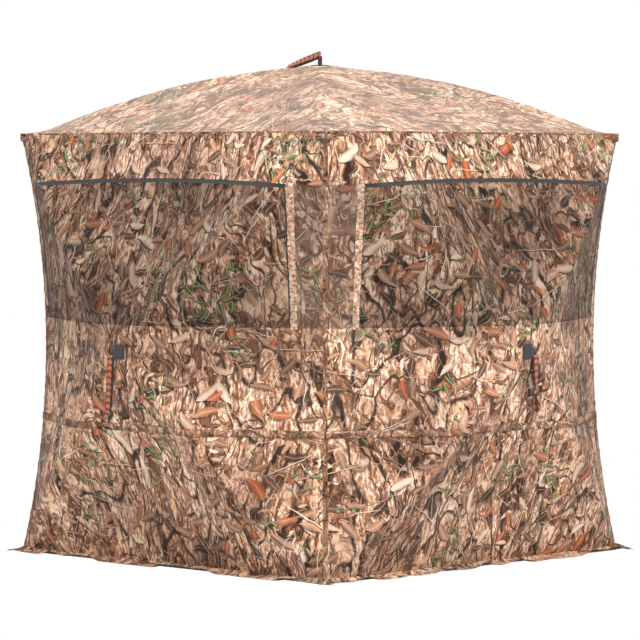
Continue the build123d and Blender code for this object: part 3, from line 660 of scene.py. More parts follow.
def camo_material(name, groups, lift=1.0, tint=None, pitch=0.0007, pucker=0.0, rough=0.78):
    """Printed cloth, black on the inside; pucker paints the light and shade of a sewn hem's gathers and
    deepens its bumps.
    """
    material, n, shader = new_material(name)
    uv = n.add("ShaderNodeUVMap").outputs[0]
    print_node = n.add("ShaderNodeGroup", node_tree=groups["camo"])
    n.put(print_node.inputs["Vector"], uv)
    weave = n.add("ShaderNodeGroup", node_tree=groups["weave"])
    n.put(weave.inputs["Vector"], uv)
    n.put(weave.inputs["Pitch"], pitch)
    made = n.mix(1.0, print_node.outputs["Color"], (lift, lift, lift, 1.0), "MULTIPLY")
    if tint:
        made = n.mix(tint[0], made, tint[1])
    # the weave's low points are darkened: painted shade between the threads
    thread = n.math("ADD", n.math("MULTIPLY", weave.outputs["Height"], 0.10), 0.95)
    made = n.mix(1.0, made, n.ramp(thread, [(0.8, (0.8, 0.8, 0.8, 1)), (1.0, (1, 1, 1, 1))]), "MULTIPLY")
    # painted light and shade of the gathers: blotches of the print pulled towards bark brown
    if pucker:
        fold = n.noise(uv, 95.0, 3.0, 0.7)["Fac"]
        made = n.mix(n.ramp(fold, [(0.42, (1, 1, 1, 1)), (0.52, (0, 0, 0, 1))]), made, tone("bark"))
    back = n.add("ShaderNodeNewGeometry").outputs["Backfacing"]
    n.put(shader.inputs["Base Color"], n.mix(back, made, rgb(22, 21, 21)))
    n.put(shader.inputs["Roughness"], rough)
    n.put(shader.inputs["Sheen Weight"], 0.03)
    n.put(shader.inputs["Specular IOR Level"], 0.25)
    crumple = n.noise(uv, 38.0, 5.0, 0.62)["Fac"]
    height = n.math("ADD", n.math("MULTIPLY", weave.outputs["Height"], 0.2),
                    n.math("MULTIPLY", crumple, 2.4 + pucker))
    bump = n.add("ShaderNodeBump", inputs={"Strength": 0.5, "Distance": 0.0014, "Height": height})
    n.put(shader.inputs["Normal"], bump.outputs[0])
    return material


def webbing_material(name, pitch=0.021, motif=True):
    """Black ribbed webbing with a generic row of slanted dashes woven along its middle."""
    material, n, shader = new_material(name)
    uv = n.add("ShaderNodeUVMap").outputs[0]
    axes = n.add("ShaderNodeSeparateXYZ", inputs={"Vector": uv})
    x, y = axes.outputs[0], axes.outputs[1]
    rib = n.math("SINE", n.math("MULTIPLY", y, 6.2832 / 0.0016))
    cross = n.math("SINE", n.math("MULTIPLY", x, 6.2832 / 0.0030))
    made = n.mix(n.noise(uv, 300.0, 2.0)["Fac"], tone("webbing"), rgb(36, 35, 35))
    if motif:
        slant = n.math("ADD", y, n.math("MULTIPLY", n.math("ABSOLUTE", x), 0.8))
        dash = n.math("LESS_THAN", n.math("FRACT", n.math("DIVIDE", slant, pitch)), 0.62)
        band = n.math("LESS_THAN", n.math("ABSOLUTE", x), sizes().strap_wide * 0.33)
        made = n.mix(n.math("MULTIPLY", n.math("MULTIPLY", dash, band), 0.92), made, tone("motif"))
    n.put(shader.inputs["Base Color"], made)
    n.put(shader.inputs["Roughness"], 0.7)
    n.put(shader.inputs["Sheen Weight"], 0.2)
    height = n.math("ADD", rib, n.math("MULTIPLY", cross, 0.6))
    bump = n.add("ShaderNodeBump", inputs={"Strength": 0.5, "Distance": 0.0004, "Height": height})
    n.put(shader.inputs["Normal"], bump.outputs[0])
    return material


def plain_material(name, base, rough, metal=0.0, grain=180.0, spread=0.3, depth=0.0003):
    """Moulded, drawn or turned stock with a fine grain on Object coordinates."""
    material, n, shader = new_material(name)
    where = n.add("ShaderNodeTexCoord").outputs["Object"]
    grains = n.noise(where, grain, 4.0, 0.6)["Fac"]
    wide = n.noise(where, grain / 14, 2.0)["Fac"]
    made = n.mix(grains, tuple(c * (1 - spread) for c in base[:3]) + (1,),
                 tuple(min(1, c * (1 + spread)) for c in base[:3]) + (1,))
    n.put(shader.inputs["Base Color"], made)
    if metal:
        n.put(shader.inputs["Metallic"], metal)
    n.put(shader.inputs["Roughness"], n.math("ADD", rough, n.math("MULTIPLY", wide, 0.15)))
    bump = n.add("ShaderNodeBump", inputs={"Strength": 0.4, "Distance": depth, "Height": grains})
    n.put(shader.inputs["Normal"], bump.outputs[0])
    return material


MATERIALS = {}


def materials():
    """The blind's materials, made once."""
    if MATERIALS:
        return MATERIALS
    groups = {"weave": weave_group()}
    groups["camo"] = camo_group(leaf_group())
    MATERIALS.update(
        cloth=camo_material("Printed cloth", groups, 1.08),
        # the roof's print is lifted and tinted pale: painted light on the canopy's top
        roof=camo_material("Printed roof cloth", groups, 1.3, tint=(0.25, rgb(226, 204, 188))),
        # the nets' print is darkened, and the corner net's also greyed, for the inside seen through them:
        # partly the black lining's own colour, partly painted shade
        mesh=camo_material("Printed window mesh", groups, 0.50, pitch=0.0016, rough=0.9),
        corner=camo_material("Printed corner mesh", groups, 0.62, tint=(0.3, rgb(120, 96, 84)),
                             pitch=0.0016, rough=0.9),
        # pucker on the webbing, hem and seam paints the light and shade of their gathers
        band=camo_material("Printed webbing", groups, 0.95, pitch=0.0012, pucker=1.0),
        # the hem's pale tint is a painted highlight on its folded edge
        hem=camo_material("Folded printed hem", groups, 1.05, tint=(0.45, rgb(238, 206, 178)),
                          pucker=1.5),
        seam=camo_material("Seam cloth", groups, 0.72, pucker=1.0),
        tips=camo_material("Reinforced corner cloth", groups, 0.35),
        strap=webbing_material("Black pull webbing"),
        black=webbing_material("Plain black webbing", motif=False),
        rod=plain_material("Glass fibre rod", tone("rod"), 0.35, grain=240.0),
        nylon=plain_material("Black moulded nylon", rgb(30, 30, 31), 0.5),
        steel=plain_material("Plated steel", rgb(168, 168, 170), 0.3, 1.0, 300.0, 0.12),
    )
    return MATERIALS


# ---- walls and windows --------------------------------------------------------------------------
def valance_low(s):
    """Lower edge of the valance: an arch from 1.275 m at the corners to 1.297 m at mid wall."""
    return 1.275 + 0.022 * (1 - s * s)


def window_ends(k):
    """Shares of the wall's half width where the window starts and ends, from left to right."""
    return {0: (-FAR_S, NEAR_S), 1: (-NEAR_S, FAR_S), 3: (-FAR_S, NEAR_S)}[k]


def door_edge(i):
    """The doorway's slanted lower (1) or upper (2) edge: a straight line between its two sides."""
    (u0, *a), (u1, *b) = DOOR
    return lambda u: a[i - 1] + (u - u0) / (u1 - u0) * (b[i - 1] - a[i - 1])


def hub_blend(obj):
    """Bake the piece's place into its mesh."""
    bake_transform(obj)
    return obj


def build_walls():
    """Each wall's printed panels round its window or doorway."""
    m = materials()
    sill = sizes().window_low
    for k, wall in enumerate(WALLS):
        if k == 2:
            (u0, _, _), (u1, _, _) = DOOR
            low, top = door_edge(1), door_edge(2)
            panels = [(-1, (u0,), 0, EAVE), ((u0,), (u1,), 0, low), ((u0,), (u1,), top, EAVE),
                      ((u1,), 1, 0, EAVE)]
        else:
            s0, s1 = window_ends(k)
            panels = [(-1, 1, 0, sill), (-1, 1, valance_low, EAVE)]
            if k != 1:
                panels.append((-1, s0, sill, valance_low))
            if k != 0:
                panels.append((s1, 1, sill, valance_low))
        piece = wall_sheet(wall + "_wall_cloth", k, panels, m["cloth"])
        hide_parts(wall + "_wall")
        hub_blend(piece)
        cloth(piece, (1.64, 1.64))


def build_windows():
    """The panes of printed mesh, with black strips of painted shade along their top and far end."""
    m = materials()
    sill = sizes().window_low
    for k in (0, 1, 3):
        s0, s1 = window_ends(k)
        pane = wall_sheet(WALLS[k] + "_window_net", k,
                          [(s0 - 0.01, s1 + 0.01, sill - 0.012, lambda s: valance_low(s) + 0.012)],
                          m["mesh"], -0.0025)
        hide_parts(WALLS[k] + "_window_mesh")
        hub_blend(pane)
        cloth(pane, (1.34, 0.52))
        # black strips of painted shade: the valance's shadow along the top, and the shaded gap at the
        # window's far end
        far = (s1 - 0.017, s1 - 0.001) if k == 1 else (s0 + 0.001, s0 + 0.017)
        tape = wall_sheet(WALLS[k] + "_window_tape", k,
                          [(s0, s1, lambda s: valance_low(s) - 0.013, lambda s: valance_low(s) + 0.002),
                           (*far, sill, lambda s: valance_low(s) - 0.013)], m["black"], -0.0015)
        hub_blend(tape)
        cloth(tape, (1.34, 0.028))


def build_corner_net():
    """The narrow net that turns the near corner, the two puckered hems beside it, and a black strip of
    painted shade by each hem.
    """
    m = materials()
    sill = sizes().window_low
    for k, s0, s1 in ((0, NEAR_S, 1), (1, -1, -NEAR_S)):
        net = wall_sheet("corner_net_" + WALLS[k], k,
                         [(s0, s1, sill - 0.012, lambda s: valance_low(s) + 0.012)], m["corner"], -0.001)
        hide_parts("corner_window_mesh")
        hub_blend(net)
        cloth(net, (0.19, 0.50))
        at = NEAR_S if k == 0 else -NEAR_S
        rows, cols = 90, 5
        z = np.linspace(sill - 0.004, 1.290, rows)[:, None] + np.zeros(cols)
        across = np.linspace(-1, 1, cols)[None, :] + np.zeros((rows, 1))
        pucker = 0.5 + 0.5 * np.sin(z * 260 + 2.0 * np.sin(z * 61)) * np.sin(z * 97 + k)
        s = at + (0.0105 * across * (0.9 + 0.25 * pucker)) / HALF
        lift = (0.0010 + 0.0030 * pucker) * (1 - across ** 2 * 0.75)
        p = wall_points(k, s, z, lift)
        uv = np.stack([across * 0.010 + 51 + k, z], -1).reshape(-1, 2)
        hem = mesh_object("corner_hem_" + WALLS[k], p.reshape(-1, 3), grid_faces(rows, cols), uv, m["hem"])
        hub_blend(hem)
        cloth(hem, (0.022, 0.48))
        # a black strip of painted shade beside the hem, where the net falls back into shadow behind it
        dark = wall_sheet("corner_tape_" + WALLS[k], k,
                          [(at - 0.023, at - 0.013, sill, valance_low) if k == 0 else
                           (at + 0.013, at + 0.019, sill, valance_low)], m["black"], -0.0012)
        hub_blend(dark)
        cloth(dark, (0.014, 0.48))


def build_door():
    """The zipped flap that fills the doorway, and the zip tape round its free edges; the flap's belt is
    laid by build_belts.
    """
    m = materials()
    (u0, a0, b0), (u1, a1, b1) = DOOR
    flap = wall_sheet("door_flap_cloth", 2, [((u0,), (u1,), door_edge(1), door_edge(2))], m["cloth"])
    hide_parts("door_flap")
    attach(flap, "door")
    cloth(flap, (0.42, 1.22))
    corner = np.array([[u1, b1], [u0, b0], [u0, a0], [u1, a1]])
    run = np.concatenate([[0], np.cumsum(np.linalg.norm(np.diff(corner, axis=0), axis=1))])
    t = np.linspace(0, run[-1], 170)
    line = np.stack([np.interp(t, run, corner[:, 0]), np.interp(t, run, corner[:, 1])], -1)
    way = np.gradient(line, axis=0)
    way /= np.linalg.norm(way, axis=1)[:, None]
    side = np.stack([way[:, 1], -way[:, 0]], -1)
    share = np.array([-1, -0.92, -0.2, -0.12, 0.12, 0.2, 0.92, 1])
    lift = np.array([0.0004, 0.0012, 0.0012, 0.0026, 0.0026, 0.0012, 0.0012, 0.0004])
    u = line[:, None, 0] + side[:, None, 0] * share * 0.012
    z = line[:, None, 1] + side[:, None, 1] * share * 0.012
    p = wall_points(2, u / corner_half(z), z, lift)
    uv = np.stack([share * 0.012 + 0 * z, t[:, None] + 0 * z], -1).reshape(-1, 2)
    tape = mesh_object("doorway_zip", p.reshape(-1, 3), grid_faces(len(t), len(share)), uv, m["black"])
    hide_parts("door_zip_tape")
    hub_blend(tape)
    cloth(tape, (0.024, round(float(run[-1]), 3)))


def belt_piece(name, k, u0, u1):
    """A strip of belt from u0 to u1: a row of low arches, down at each stitch, 85 mm apart."""
    half = sizes().belt_wide / 2
    cols = max(8, int((u1 - u0) / 0.0077))
    u = np.linspace(u0, u1, cols)
    at = corner_half(np.array([BELT_Z]))[0]
    rows = []
    for lift, dz in ((0.0008, -1.0), (0.0022, -0.94), (0.0022, 0.94), (0.0008, 1.0)):
        arch = 0.0024 * np.abs(np.sin((u + 0.05) / 0.085 * math.pi)) ** 0.7
        rows.append(wall_points(k, u / at, BELT_Z + dz * half + 0 * u, lift + arch * (lift > 0.001)))
    rail = np.array([0, 0.0015, 0.0225, 0.024])[:, None] + 0 * u
    uv = np.stack([np.tile(u + 31 + 2 * k, (4, 1)), rail], -1)
    return mesh_object(name, np.stack(rows).reshape(-1, 3), grid_faces(4, cols), uv.reshape(-1, 2),
                       materials()["band"])


def build_belts():
    """Printed webbing stitched round each wall, cut at the doorway, with its own length on the flap."""
    at = float(corner_half(np.array([BELT_Z]))[0])
    edge = DOOR[0][0] + (DOOR[0][1] - BELT_Z) / (DOOR[0][1] - DOOR[1][1]) * (DOOR[1][0] - DOOR[0][0])
    for k, wall in enumerate(WALLS):
        spans = [(-at, at)] if k != 2 else [(-at, edge - 0.012), (DOOR[1][0] + 0.004, at)]
        for i, (u0, u1) in enumerate(spans):
            belt = belt_piece(wall + "_belt" + ("_b" if i else ""), k, u0, u1)
            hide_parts("belt_strips")
            hub_blend(belt)
            cloth(belt, (round(u1 - u0 + 0.02, 3), 0.028))
    belt = belt_piece("door_belt", 2, edge + 0.012, DOOR[1][0] - 0.004)
    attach(belt, "door")
    cloth(belt, (0.34, 0.028))


def tip_low(s):
    """Lower edge of an eave tip: 42 mm down at the corner, rising as a power 0.6 of the way in."""
    return EAVE - 0.003 - 0.042 * np.clip(1 - (1 - np.abs(s)) / 0.056, 0.25, 1) ** 0.6


def build_corners():
    """The seam up each corner and the dark reinforced tips under the eave."""
    m = materials()
    for k, wall in enumerate(WALLS):
        z = np.linspace(0.004, EAVE - 0.004, 200)
        puff = 0.0008 + 0.0010 * np.sin(z * 150) * np.sin(z * 37 + k)
        a = wall_points(k, 1 - 0.010 + 0 * z, z, 0.0004)
        b = wall_points((k + 1) % 4, -1 + 0.010 + 0 * z, z, 0.0004)
        h = corner_half(z) + np.maximum(puff, 0.0006)
        c = turn_k(np.stack([h, -h, z], -1), k)
        uv = np.stack([np.array([-0.007, 0, 0.007])[:, None] + 61 + k + 0 * z, np.tile(z, (3, 1))], -1)
        seam = mesh_object(wall + "_corner_seam", np.stack([a, c, b]).reshape(-1, 3),
                           grid_faces(3, len(z), flip=True), uv.reshape(-1, 2), m["seam"])
        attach(seam, "shell")
        cloth(seam, (0.018, 1.46))
        for end, mark in ((-1, "a"), (1, "b")):
            s0, s1 = sorted((end * 0.999, end * 0.944))
            tip = wall_sheet(f"{wall}_eave_tip_{mark}", k, [(s0, s1, tip_low, EAVE - 0.003)],
                             m["tips"], 0.0032)
            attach(tip, "shell")
            cloth(tip, (0.045, 0.045))


# ---- roof, eave and ground flaps ----------------------------------------------------------------
def build_roof():
    """The canopy, one sheet domed over its four rods and the hub."""
    m = materials()
    line = np.linspace(-HALF, HALF, 181)
    x, y = np.meshgrid(line, line, indexing="ij")
    p = np.stack([x, y, roof_height(x, y)], -1).reshape(-1, 3)
    uv = np.stack([x + 12.3, y + 7.7], -1).reshape(-1, 2)
    canopy = mesh_object("roof_canopy_cloth", p, grid_faces(181, 181, flip=True), uv, m["roof"])
    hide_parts("canopy")
    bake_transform(canopy)
    cloth(canopy, (1.54, 1.54))


def build_eave():
    """The webbing under the eave: a profile of two ridges carried round the square, sagging a little."""
    m = materials()
    profile = np.array([(0.0006, 1.4505), (0.0024, 1.4500), (0.0032, 1.4470), (0.0010, 1.4400),
                        (0.0036, 1.4380), (0.0034, 1.4330), (0.0010, 1.4290), (0.0030, 1.4270),
                        (0.0026, 1.4235), (0.0006, 1.4225)])
    side = np.linspace(-1, 1, 90)[:-1]
    one = np.ones_like(side)
    ring = np.vstack([np.stack([side, -one], 1), np.stack([one, side], 1),
                      np.stack([-side, one], 1), np.stack([-one, -side], 1)])
    n = np.arange(len(ring))
    sag = 0.0012 * np.sin(n * 0.31) + 0.0008 * np.sin(n * 1.1)
    z = profile[:, 1:] + sag * (1.4505 - profile[:, 1:]) / 0.028
    p = np.concatenate([ring[None] * (HALF + profile[:, 0])[:, None, None], z[..., None]], -1)
    run = np.tile(n * (8 * HALF / len(ring)), (len(profile), 1))
    uv = np.stack([run + 21, z - 1.42], -1).reshape(-1, 2)
    faces = grid_faces(len(profile), len(ring), loop=True, flip=True)
    trim = mesh_object("eave_webbing", p.reshape(-1, 3), faces, uv, m["band"])
    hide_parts("eave_trim")
    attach(trim, "shell")
    cloth(trim, (5.87, 0.036))


def build_skirts():
    """Ground flaps: sewn along the wall's foot, bulging out, curled in places, with pointed ears."""
    m = materials()
    for k, wall in enumerate(WALLS):
        cols, rows = 190, 14
        u, t = np.meshgrid(np.linspace(-1, 1, cols), np.linspace(0, 1, rows), indexing="xy")
        wide = sizes().flap_wide + 0.012 * np.cos(u * math.pi / 2) + 0.004 * np.sin(9 * u + k)
        wide += 0.003 * np.sin(23 * u + 2 * k)
        ear = np.clip((np.abs(u) - 0.90) / 0.10, 0, 1)
        across = u * (HALF - 0.002) + np.sign(u) * ear * t * 0.066
        reach = t * wide * (1 - ear) + t * ear * (0.018 + 0.02 * (1 - ear))
        curl = 0.5 + 0.5 * np.sin(u * 7.3 + 1.7 * k + 1.1 * np.sin(u * 17 + k))
        z = 0.0035 + 0.014 * (1 - t) ** 3 + 0.016 * curl ** 2 * t ** 2 * (1 - ear)
        z += 0.0030 * np.sin(u * 31 + k) * t * (1 - t) * 4 * (1 - ear)
        p = turn_k(np.stack([across, -(HALF + reach), np.maximum(z, 0.0012)], -1), k)
        uv = np.stack([across + 41 + 2 * k, reach], -1).reshape(-1, 2)
        skirt = mesh_object(wall + "_ground_flap", p.reshape(-1, 3),
                            grid_faces(rows, cols, flip=True), uv, m["cloth"])
        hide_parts("ground_skirts")
        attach(skirt, "shell")
        cloth(skirt, (1.62, 0.09))


# ---- rods, hubs and straps ----------------------------------------------------------------------
def rod_list():
    """Every rod's name, ball, hub, outward way, hub body and the plane that its ball stays in."""
    across, out_by, low, high = BALL
    for k, wall in enumerate(WALLS):
        for foot, level in ((low, "lower"), (high, "upper")):
            for side, mark in ((-1, "a"), (1, "b")):
                ball = turn_k(np.array([side * across, -out_by, foot]), k)
                out = turn_k(np.array([0.0, -1.0, 0.0]), k)
                hub = turn_k(np.array([0.0, -HUB_OUT, HUB_Z]), k)
                yield f"{wall}_rod_{level}_{mark}", ball, hub, out, wall + "_hub", HALF
    at, height = ROOF_BALL
    for k in range(4):
        ball = turn_k(np.array([at, -at, height]), k)
        hub, up = np.array([0, 0, ROOF_Z]), np.array([0, 0, 1.0])
        yield "roof_rod_" + "abcd"[k], ball, hub, up, "roof_hub", EAVE


def build_rods():
    """Bent glass fibre rods: round stock, ball and ferrule."""
    m = materials()
    stock = sizes().rod_radius
    for name, ball, hub, out, body, plane in rod_list():
        span = hub - ball
        across = span - out * (span @ out)
        across /= np.linalg.norm(across)
        chord = hub - across * PIN - ball
        long = np.linalg.norm(chord)
        bow = out - chord / long * (chord / long @ out)
        bow /= np.linalg.norm(bow)
        t = np.linspace(0, 1, 60)
        path = ball + chord * t[:, None] + bow * (4 * BOW * t * (1 - t))[:, None]
        keep = t * long < long - 0.004
        radius = np.where(t * long > long - 0.088, stock * 1.42, stock)
        radius = np.where(t * long < 0.008, stock * 1.33, radius)
        verts, faces = tube(path[keep], radius[keep])
        rod = mesh_object(name + "_stock", verts, faces, None, m["rod"])
        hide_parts(name)
        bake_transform(rod)


def build_patch(name, at, out, across, up):
    """The square webbing patch over a hub: crowned inside a pressed line of stitches."""
    n = 21
    side = sizes().patch_side
    a, b = np.meshgrid(np.linspace(-0.5, 0.5, n), np.linspace(-0.5, 0.5, n), indexing="ij")
    edge = 1 - np.maximum(np.abs(a), np.abs(b)) * 2
    crown = 0.0012 + 0.0016 * np.clip(edge / 0.14, 0, 1) ** 0.5 - 0.0008 * (np.abs(edge - 0.15) < 0.06)
    p = at + across * (a * side)[..., None] + up * (b * side)[..., None] + out * crown[..., None]
    uv = np.stack([a * side, b * side], -1).reshape(-1, 2)
    obj = mesh_object(name, p.reshape(-1, 3), grid_faces(n, n), uv, materials()["black"])
    solid = obj.modifiers.new("thick", "SOLIDIFY")
    solid.thickness, solid.offset = 0.0012, -1.0
    return obj


def build_patches():
    """A patch over each hub, and the short tab or stem that holds its strap."""
    m = materials()
    up = np.array([0, 0, 1.0])
    for k, wall in enumerate(WALLS):
        out = turn_k(np.array([0.0, -1.0, 0.0]), k)
        across = np.cross(up, out)
        at = turn_k(np.array([0.0, -HUB_OUT - 0.0184, HUB_Z]), k)
        patch = build_patch(wall + "_patch", at, out, across, up)
        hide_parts(wall + "_hub_patch")
        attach(patch, wall + "_hub")
        t = np.linspace(0, 1, 10)[:, None]
        tab = at + out * 0.0012 + across * STRAP_SIDE[k] * (0.018 + 0.024 * t)
        tab = tab + up * (0.006 - 0.010 * t * t)
        v, f, uv = strap_loop(tab, 0.020, 0.0018, up)
        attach(mesh_object(wall + "_strap_tab", v, f, uv, m["black"]), wall + "_hub")
    at = np.array([0, 0, ROOF_Z + 0.0184])
    patch = build_patch("roof_patch", at, up, np.array([1.0, 0, 0]), np.array([0, 1.0, 0]))
    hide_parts("roof_hub_patch")
    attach(patch, "roof_hub")
    stem = at + up * np.linspace(0.001, 0.036, 8)[:, None]
    v, f, uv = strap_loop(stem, 0.022, 0.0018, np.array([0, 1.0, 0]))
    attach(mesh_object("roof_strap_stem", v, f, uv, m["black"]), "roof_hub")


def hang_path(top, out, across, long, depth, way, twist=0.0, start=0.0):
    """A hanging loop: down its back, round its foot and up its front, twisting as it goes down."""
    down = np.linspace(0, 1, 30)
    belly = depth / 2 * (0.55 + 0.45 * np.sin(down * math.pi * 0.85 + 0.25))
    round_foot = np.linspace(0.15, math.pi - 0.15, 12)
    run = np.concatenate([down * long, long + depth / 2 * np.sin(round_foot), down[::-1] * long])
    off = np.concatenate([-belly, -belly[-1] * np.cos(round_foot), belly[::-1]])
    turn = start + twist * np.clip(run / long, 0, 1) ** 1.6
    away = out * np.cos(turn)[:, None] + across * np.sin(turn)[:, None]
    side = across * np.cos(turn)[:, None] - out * np.sin(turn)[:, None]
    return top + way * run[:, None] + away * off[:, None], side


def build_straps():
    """The pull straps: narrow loops of webbing that hang from their tabs and from the roof's stem."""
    m = materials()
    wide = sizes().strap_wide
    up = np.array([0, 0, 1.0])
    for k, wall in enumerate(WALLS):
        out = turn_k(np.array([0.0, -1.0, 0.0]), k)
        across = np.cross(up, out)
        at = turn_k(np.array([0.0, -HUB_OUT - 0.0184, HUB_Z]), k)
        top = at + out * 0.003 + across * STRAP_SIDE[k] * 0.037 - up * 0.0124
        lean, twist = STRAP_HANG[k]
        way = -up * math.cos(lean) + across * STRAP_SIDE[k] * math.sin(lean)
        side = across * math.cos(lean) + up * STRAP_SIDE[k] * math.sin(lean)
        path, sides = hang_path(top, out, side, 0.187, 0.0060, way, twist)
        v, f, uv = strap_loop(path, wide, 0.0016, sides)
        strap = mesh_object(wall + "_strap", v, f, uv, m["strap"])
        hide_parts(wall + "_pull_strap")
        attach(strap, wall + "_pull_strap")
    top = np.array([0, 0, ROOF_Z + 0.0184 + 0.0024 + 0.034 + 0.0034])
    fall = math.radians(15)
    way = np.array([-math.cos(fall), 0, -math.sin(fall)])
    out = np.array([-math.sin(fall), 0, math.cos(fall)])
    path, sides = hang_path(top, out, np.array([0, 1.0, 0]), 0.162, 0.0090, way, 0.5, -1.15)
    v, f, uv = strap_loop(path, wide, 0.0016, sides)
    strap = mesh_object("roof_strap", v, f, uv, m["strap"])
    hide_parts("roof_pull_strap")
    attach(strap, "roof_pull_strap")


def finish_hardware():
    """The hubs, boots, pins and zip slider keep their CAD shapes and get their materials."""
    m = materials()
    kinds = {"_hub": "nylon", "_boots": "nylon", "_pins_and_bolt": "steel", "_slider": "steel",
             "_tape": "black"}
    for name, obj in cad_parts.items():
        for ending, kind in kinds.items():
            if name.endswith(ending):
                obj.data.materials.clear()
                obj.data.materials.append(m[kind])


# ---- stage --------------------------------------------------------------------------------------
def seen_white(n, output, shader):
    """White to the camera and in glossy or clear surfaces, and the plain shader to all else."""
    path = n.add("ShaderNodeLightPath").outputs
    seen = n.math("MAXIMUM", path["Is Camera Ray"],
                  n.math("MAXIMUM", path["Is Glossy Ray"], path["Is Transmission Ray"]))
    white = n.add("ShaderNodeEmission", inputs={"Color": (1, 1, 1, 1), "Strength": 1.0})
    mix = n.add("ShaderNodeMixShader")
    for socket, value in zip(mix.inputs, (seen, shader.outputs[0], white.outputs[0])):
        n.put(socket, value)
    n.put(output.inputs[0], mix.outputs[0])
    return mix, white


def aim(obj, at, to):
    """Put a lamp or the camera at a point, turned towards another."""
    obj.location = at
    obj.rotation_euler = Vector(np.subtract(to, at)).to_track_quat("-Z", "Y").to_euler()
    bpy.context.scene.collection.objects.link(obj)
    return obj


def build_stage():
    """White floor and world, two soft lamps and the camera."""
    scene = bpy.context.scene
    scene.view_settings.view_transform = "Standard"
    world = bpy.data.worlds.new("Soft studio")
    world.use_nodes = True
    n = Nodes(world.node_tree)
    back = world.node_tree.nodes["Background"]
    back.inputs[0].default_value = (1, 1, 1, 1)
    back.inputs[1].default_value = WORLD
    seen_white(n, world.node_tree.nodes["World Output"], back)
    scene.world = world
    corners = [(-30, -30, -0.002), (30, -30, -0.002), (30, 30, -0.002), (-30, 30, -0.002)]
    floor = mesh_object("floor", corners, [(0, 1, 2, 3)], smooth=False)
    material, n, shader = new_material("White floor")
    shader.inputs["Base Color"].default_value = (0.9, 0.9, 0.9, 1)
    shader.inputs["Roughness"].default_value = 0.9
    seen_white(n, material.node_tree.nodes["Material Output"], shader)
    floor.data.materials.append(material)
    for name, at, power in (("key", KEY_AT, KEY), ("fill", (-6.5, -4.0, 3.0), FILL)):
        lamp = bpy.data.lights.new(name, "AREA")
        lamp.energy, lamp.size = power, 4.0
        aim(bpy.data.objects.new(name, lamp), at, (0, 0, 0.7))
    camera = bpy.data.cameras.new("camera")
    camera.lens, camera.sensor_width, camera.clip_end = 202.5, 36.0, 100
    turn = math.radians(44)
    at = (math.sin(turn) * 12.5, -math.cos(turn) * 12.5, 1.334)
    scene.camera = aim(bpy.data.objects.new("camera", camera), at, (0, 0, 0.803))


# ---- operators and panel ------------------------------------------------------------------------
class BLIND_OT_walls(bpy.types.Operator):
    """Stretch the four printed walls over their rods."""

    bl_idname = "blind.walls"
    bl_label = "Walls"

    def execute(self, context):
        build_walls()
        return {"FINISHED"}


class BLIND_OT_windows(bpy.types.Operator):
    """Sew the mesh panes into the walls, with black strips of painted shade along their top and far end.
    """

    bl_idname = "blind.windows"
    bl_label = "Windows"

    def execute(self, context):
        build_windows()
        return {"FINISHED"}


class BLIND_OT_corner_net(bpy.types.Operator):
    """Add the net that turns the near corner and its hems."""

    bl_idname = "blind.corner_net"
    bl_label = "Corner net"

    def execute(self, context):
        build_corner_net()
        return {"FINISHED"}


class BLIND_OT_door(bpy.types.Operator):
    """Fill the doorway with its flap and zip tape."""

    bl_idname = "blind.door"
    bl_label = "Door"

    def execute(self, context):
        build_door()
        return {"FINISHED"}


class BLIND_OT_corners(bpy.types.Operator):
    """Add the corner seams and the eave's tips."""

    bl_idname = "blind.corners"
    bl_label = "Corner seams"

    def execute(self, context):
        build_corners()
        return {"FINISHED"}


class BLIND_OT_roof(bpy.types.Operator):
    """Stretch the canopy over its rods."""

    bl_idname = "blind.roof"
    bl_label = "Roof"

    def execute(self, context):
        build_roof()
        return {"FINISHED"}


class BLIND_OT_eave(bpy.types.Operator):
    """Run the webbing round under the eave."""

    bl_idname = "blind.eave"
    bl_label = "Eave webbing"

    def execute(self, context):
        build_eave()
        return {"FINISHED"}


class BLIND_OT_belts(bpy.types.Operator):
    """Stitch the printed webbing round the walls."""

    bl_idname = "blind.belts"
    bl_label = "Belts"

    def execute(self, context):
        build_belts()
        return {"FINISHED"}


class BLIND_OT_flaps(bpy.types.Operator):
    """Lay the flaps round the foot."""

    bl_idname = "blind.flaps"
    bl_label = "Ground flaps"

    def execute(self, context):
        build_skirts()
        return {"FINISHED"}


class BLIND_OT_rods(bpy.types.Operator):
    """Bend the twenty rods from their corners to the hubs."""

    bl_idname = "blind.rods"
    bl_label = "Rods"

    def execute(self, context):
        build_rods()
        return {"FINISHED"}


class BLIND_OT_patches(bpy.types.Operator):
    """Sew a patch and a tab over each hub."""

    bl_idname = "blind.patches"
    bl_label = "Hub patches"

    def execute(self, context):
        build_patches()
        return {"FINISHED"}


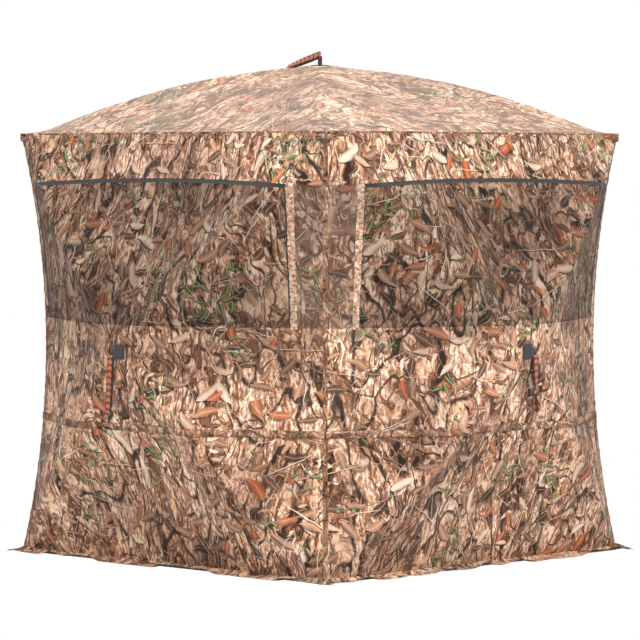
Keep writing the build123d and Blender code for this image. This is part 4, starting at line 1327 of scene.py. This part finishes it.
class BLIND_OT_straps(bpy.types.Operator):
    """Hang the pull straps."""

    bl_idname = "blind.straps"
    bl_label = "Pull straps"

    def execute(self, context):
        build_straps()
        return {"FINISHED"}


class BLIND_OT_hardware(bpy.types.Operator):
    """Give hubs, boots, pins and slider their materials."""

    bl_idname = "blind.hardware"
    bl_label = "Hardware"

    def execute(self, context):
        finish_hardware()
        return {"FINISHED"}


class BLIND_OT_stage(bpy.types.Operator):
    """Add the floor, the lamps and the camera."""

    bl_idname = "blind.stage"
    bl_label = "Stage"

    def execute(self, context):
        build_stage()
        return {"FINISHED"}


OPERATORS = (
    BLIND_OT_walls, BLIND_OT_windows, BLIND_OT_corner_net, BLIND_OT_door, BLIND_OT_corners,
    BLIND_OT_roof, BLIND_OT_eave, BLIND_OT_belts, BLIND_OT_flaps, BLIND_OT_rods, BLIND_OT_patches,
    BLIND_OT_straps, BLIND_OT_hardware, BLIND_OT_stage,
)


class BLIND_PT_panel(bpy.types.Panel):
    """The blind's pieces, sizes and colours."""

    bl_label = "Ground blind"
    bl_idname = "BLIND_PT_panel"
    bl_space_type = "VIEW_3D"
    bl_region_type = "UI"
    bl_category = "Blind"

    def draw(self, context):
        for group in (context.scene.blind_sizes, context.scene.blind_colours):
            box = self.layout.box()
            for name in group.__annotations__:
                box.prop(group, name)
        for made in OPERATORS:
            self.layout.operator(made.bl_idname)


CLASSES = (BlindSizes, BlindColours, *OPERATORS, BLIND_PT_panel)


def register():
    """Register the classes and hang the sizes and colours on the scene."""
    for made in CLASSES:
        bpy.utils.register_class(made)
    bpy.types.Scene.blind_sizes = PointerProperty(type=BlindSizes)
    bpy.types.Scene.blind_colours = PointerProperty(type=BlindColours)


def unregister():
    """Take the sizes, colours and classes away again."""
    del bpy.types.Scene.blind_sizes
    del bpy.types.Scene.blind_colours
    for made in reversed(CLASSES):
        bpy.utils.unregister_class(made)


def main():
    register()
    for made in OPERATORS:
        getattr(bpy.ops.blind, made.bl_idname.split(".")[1])()


if __name__ == "__main__":
    main()
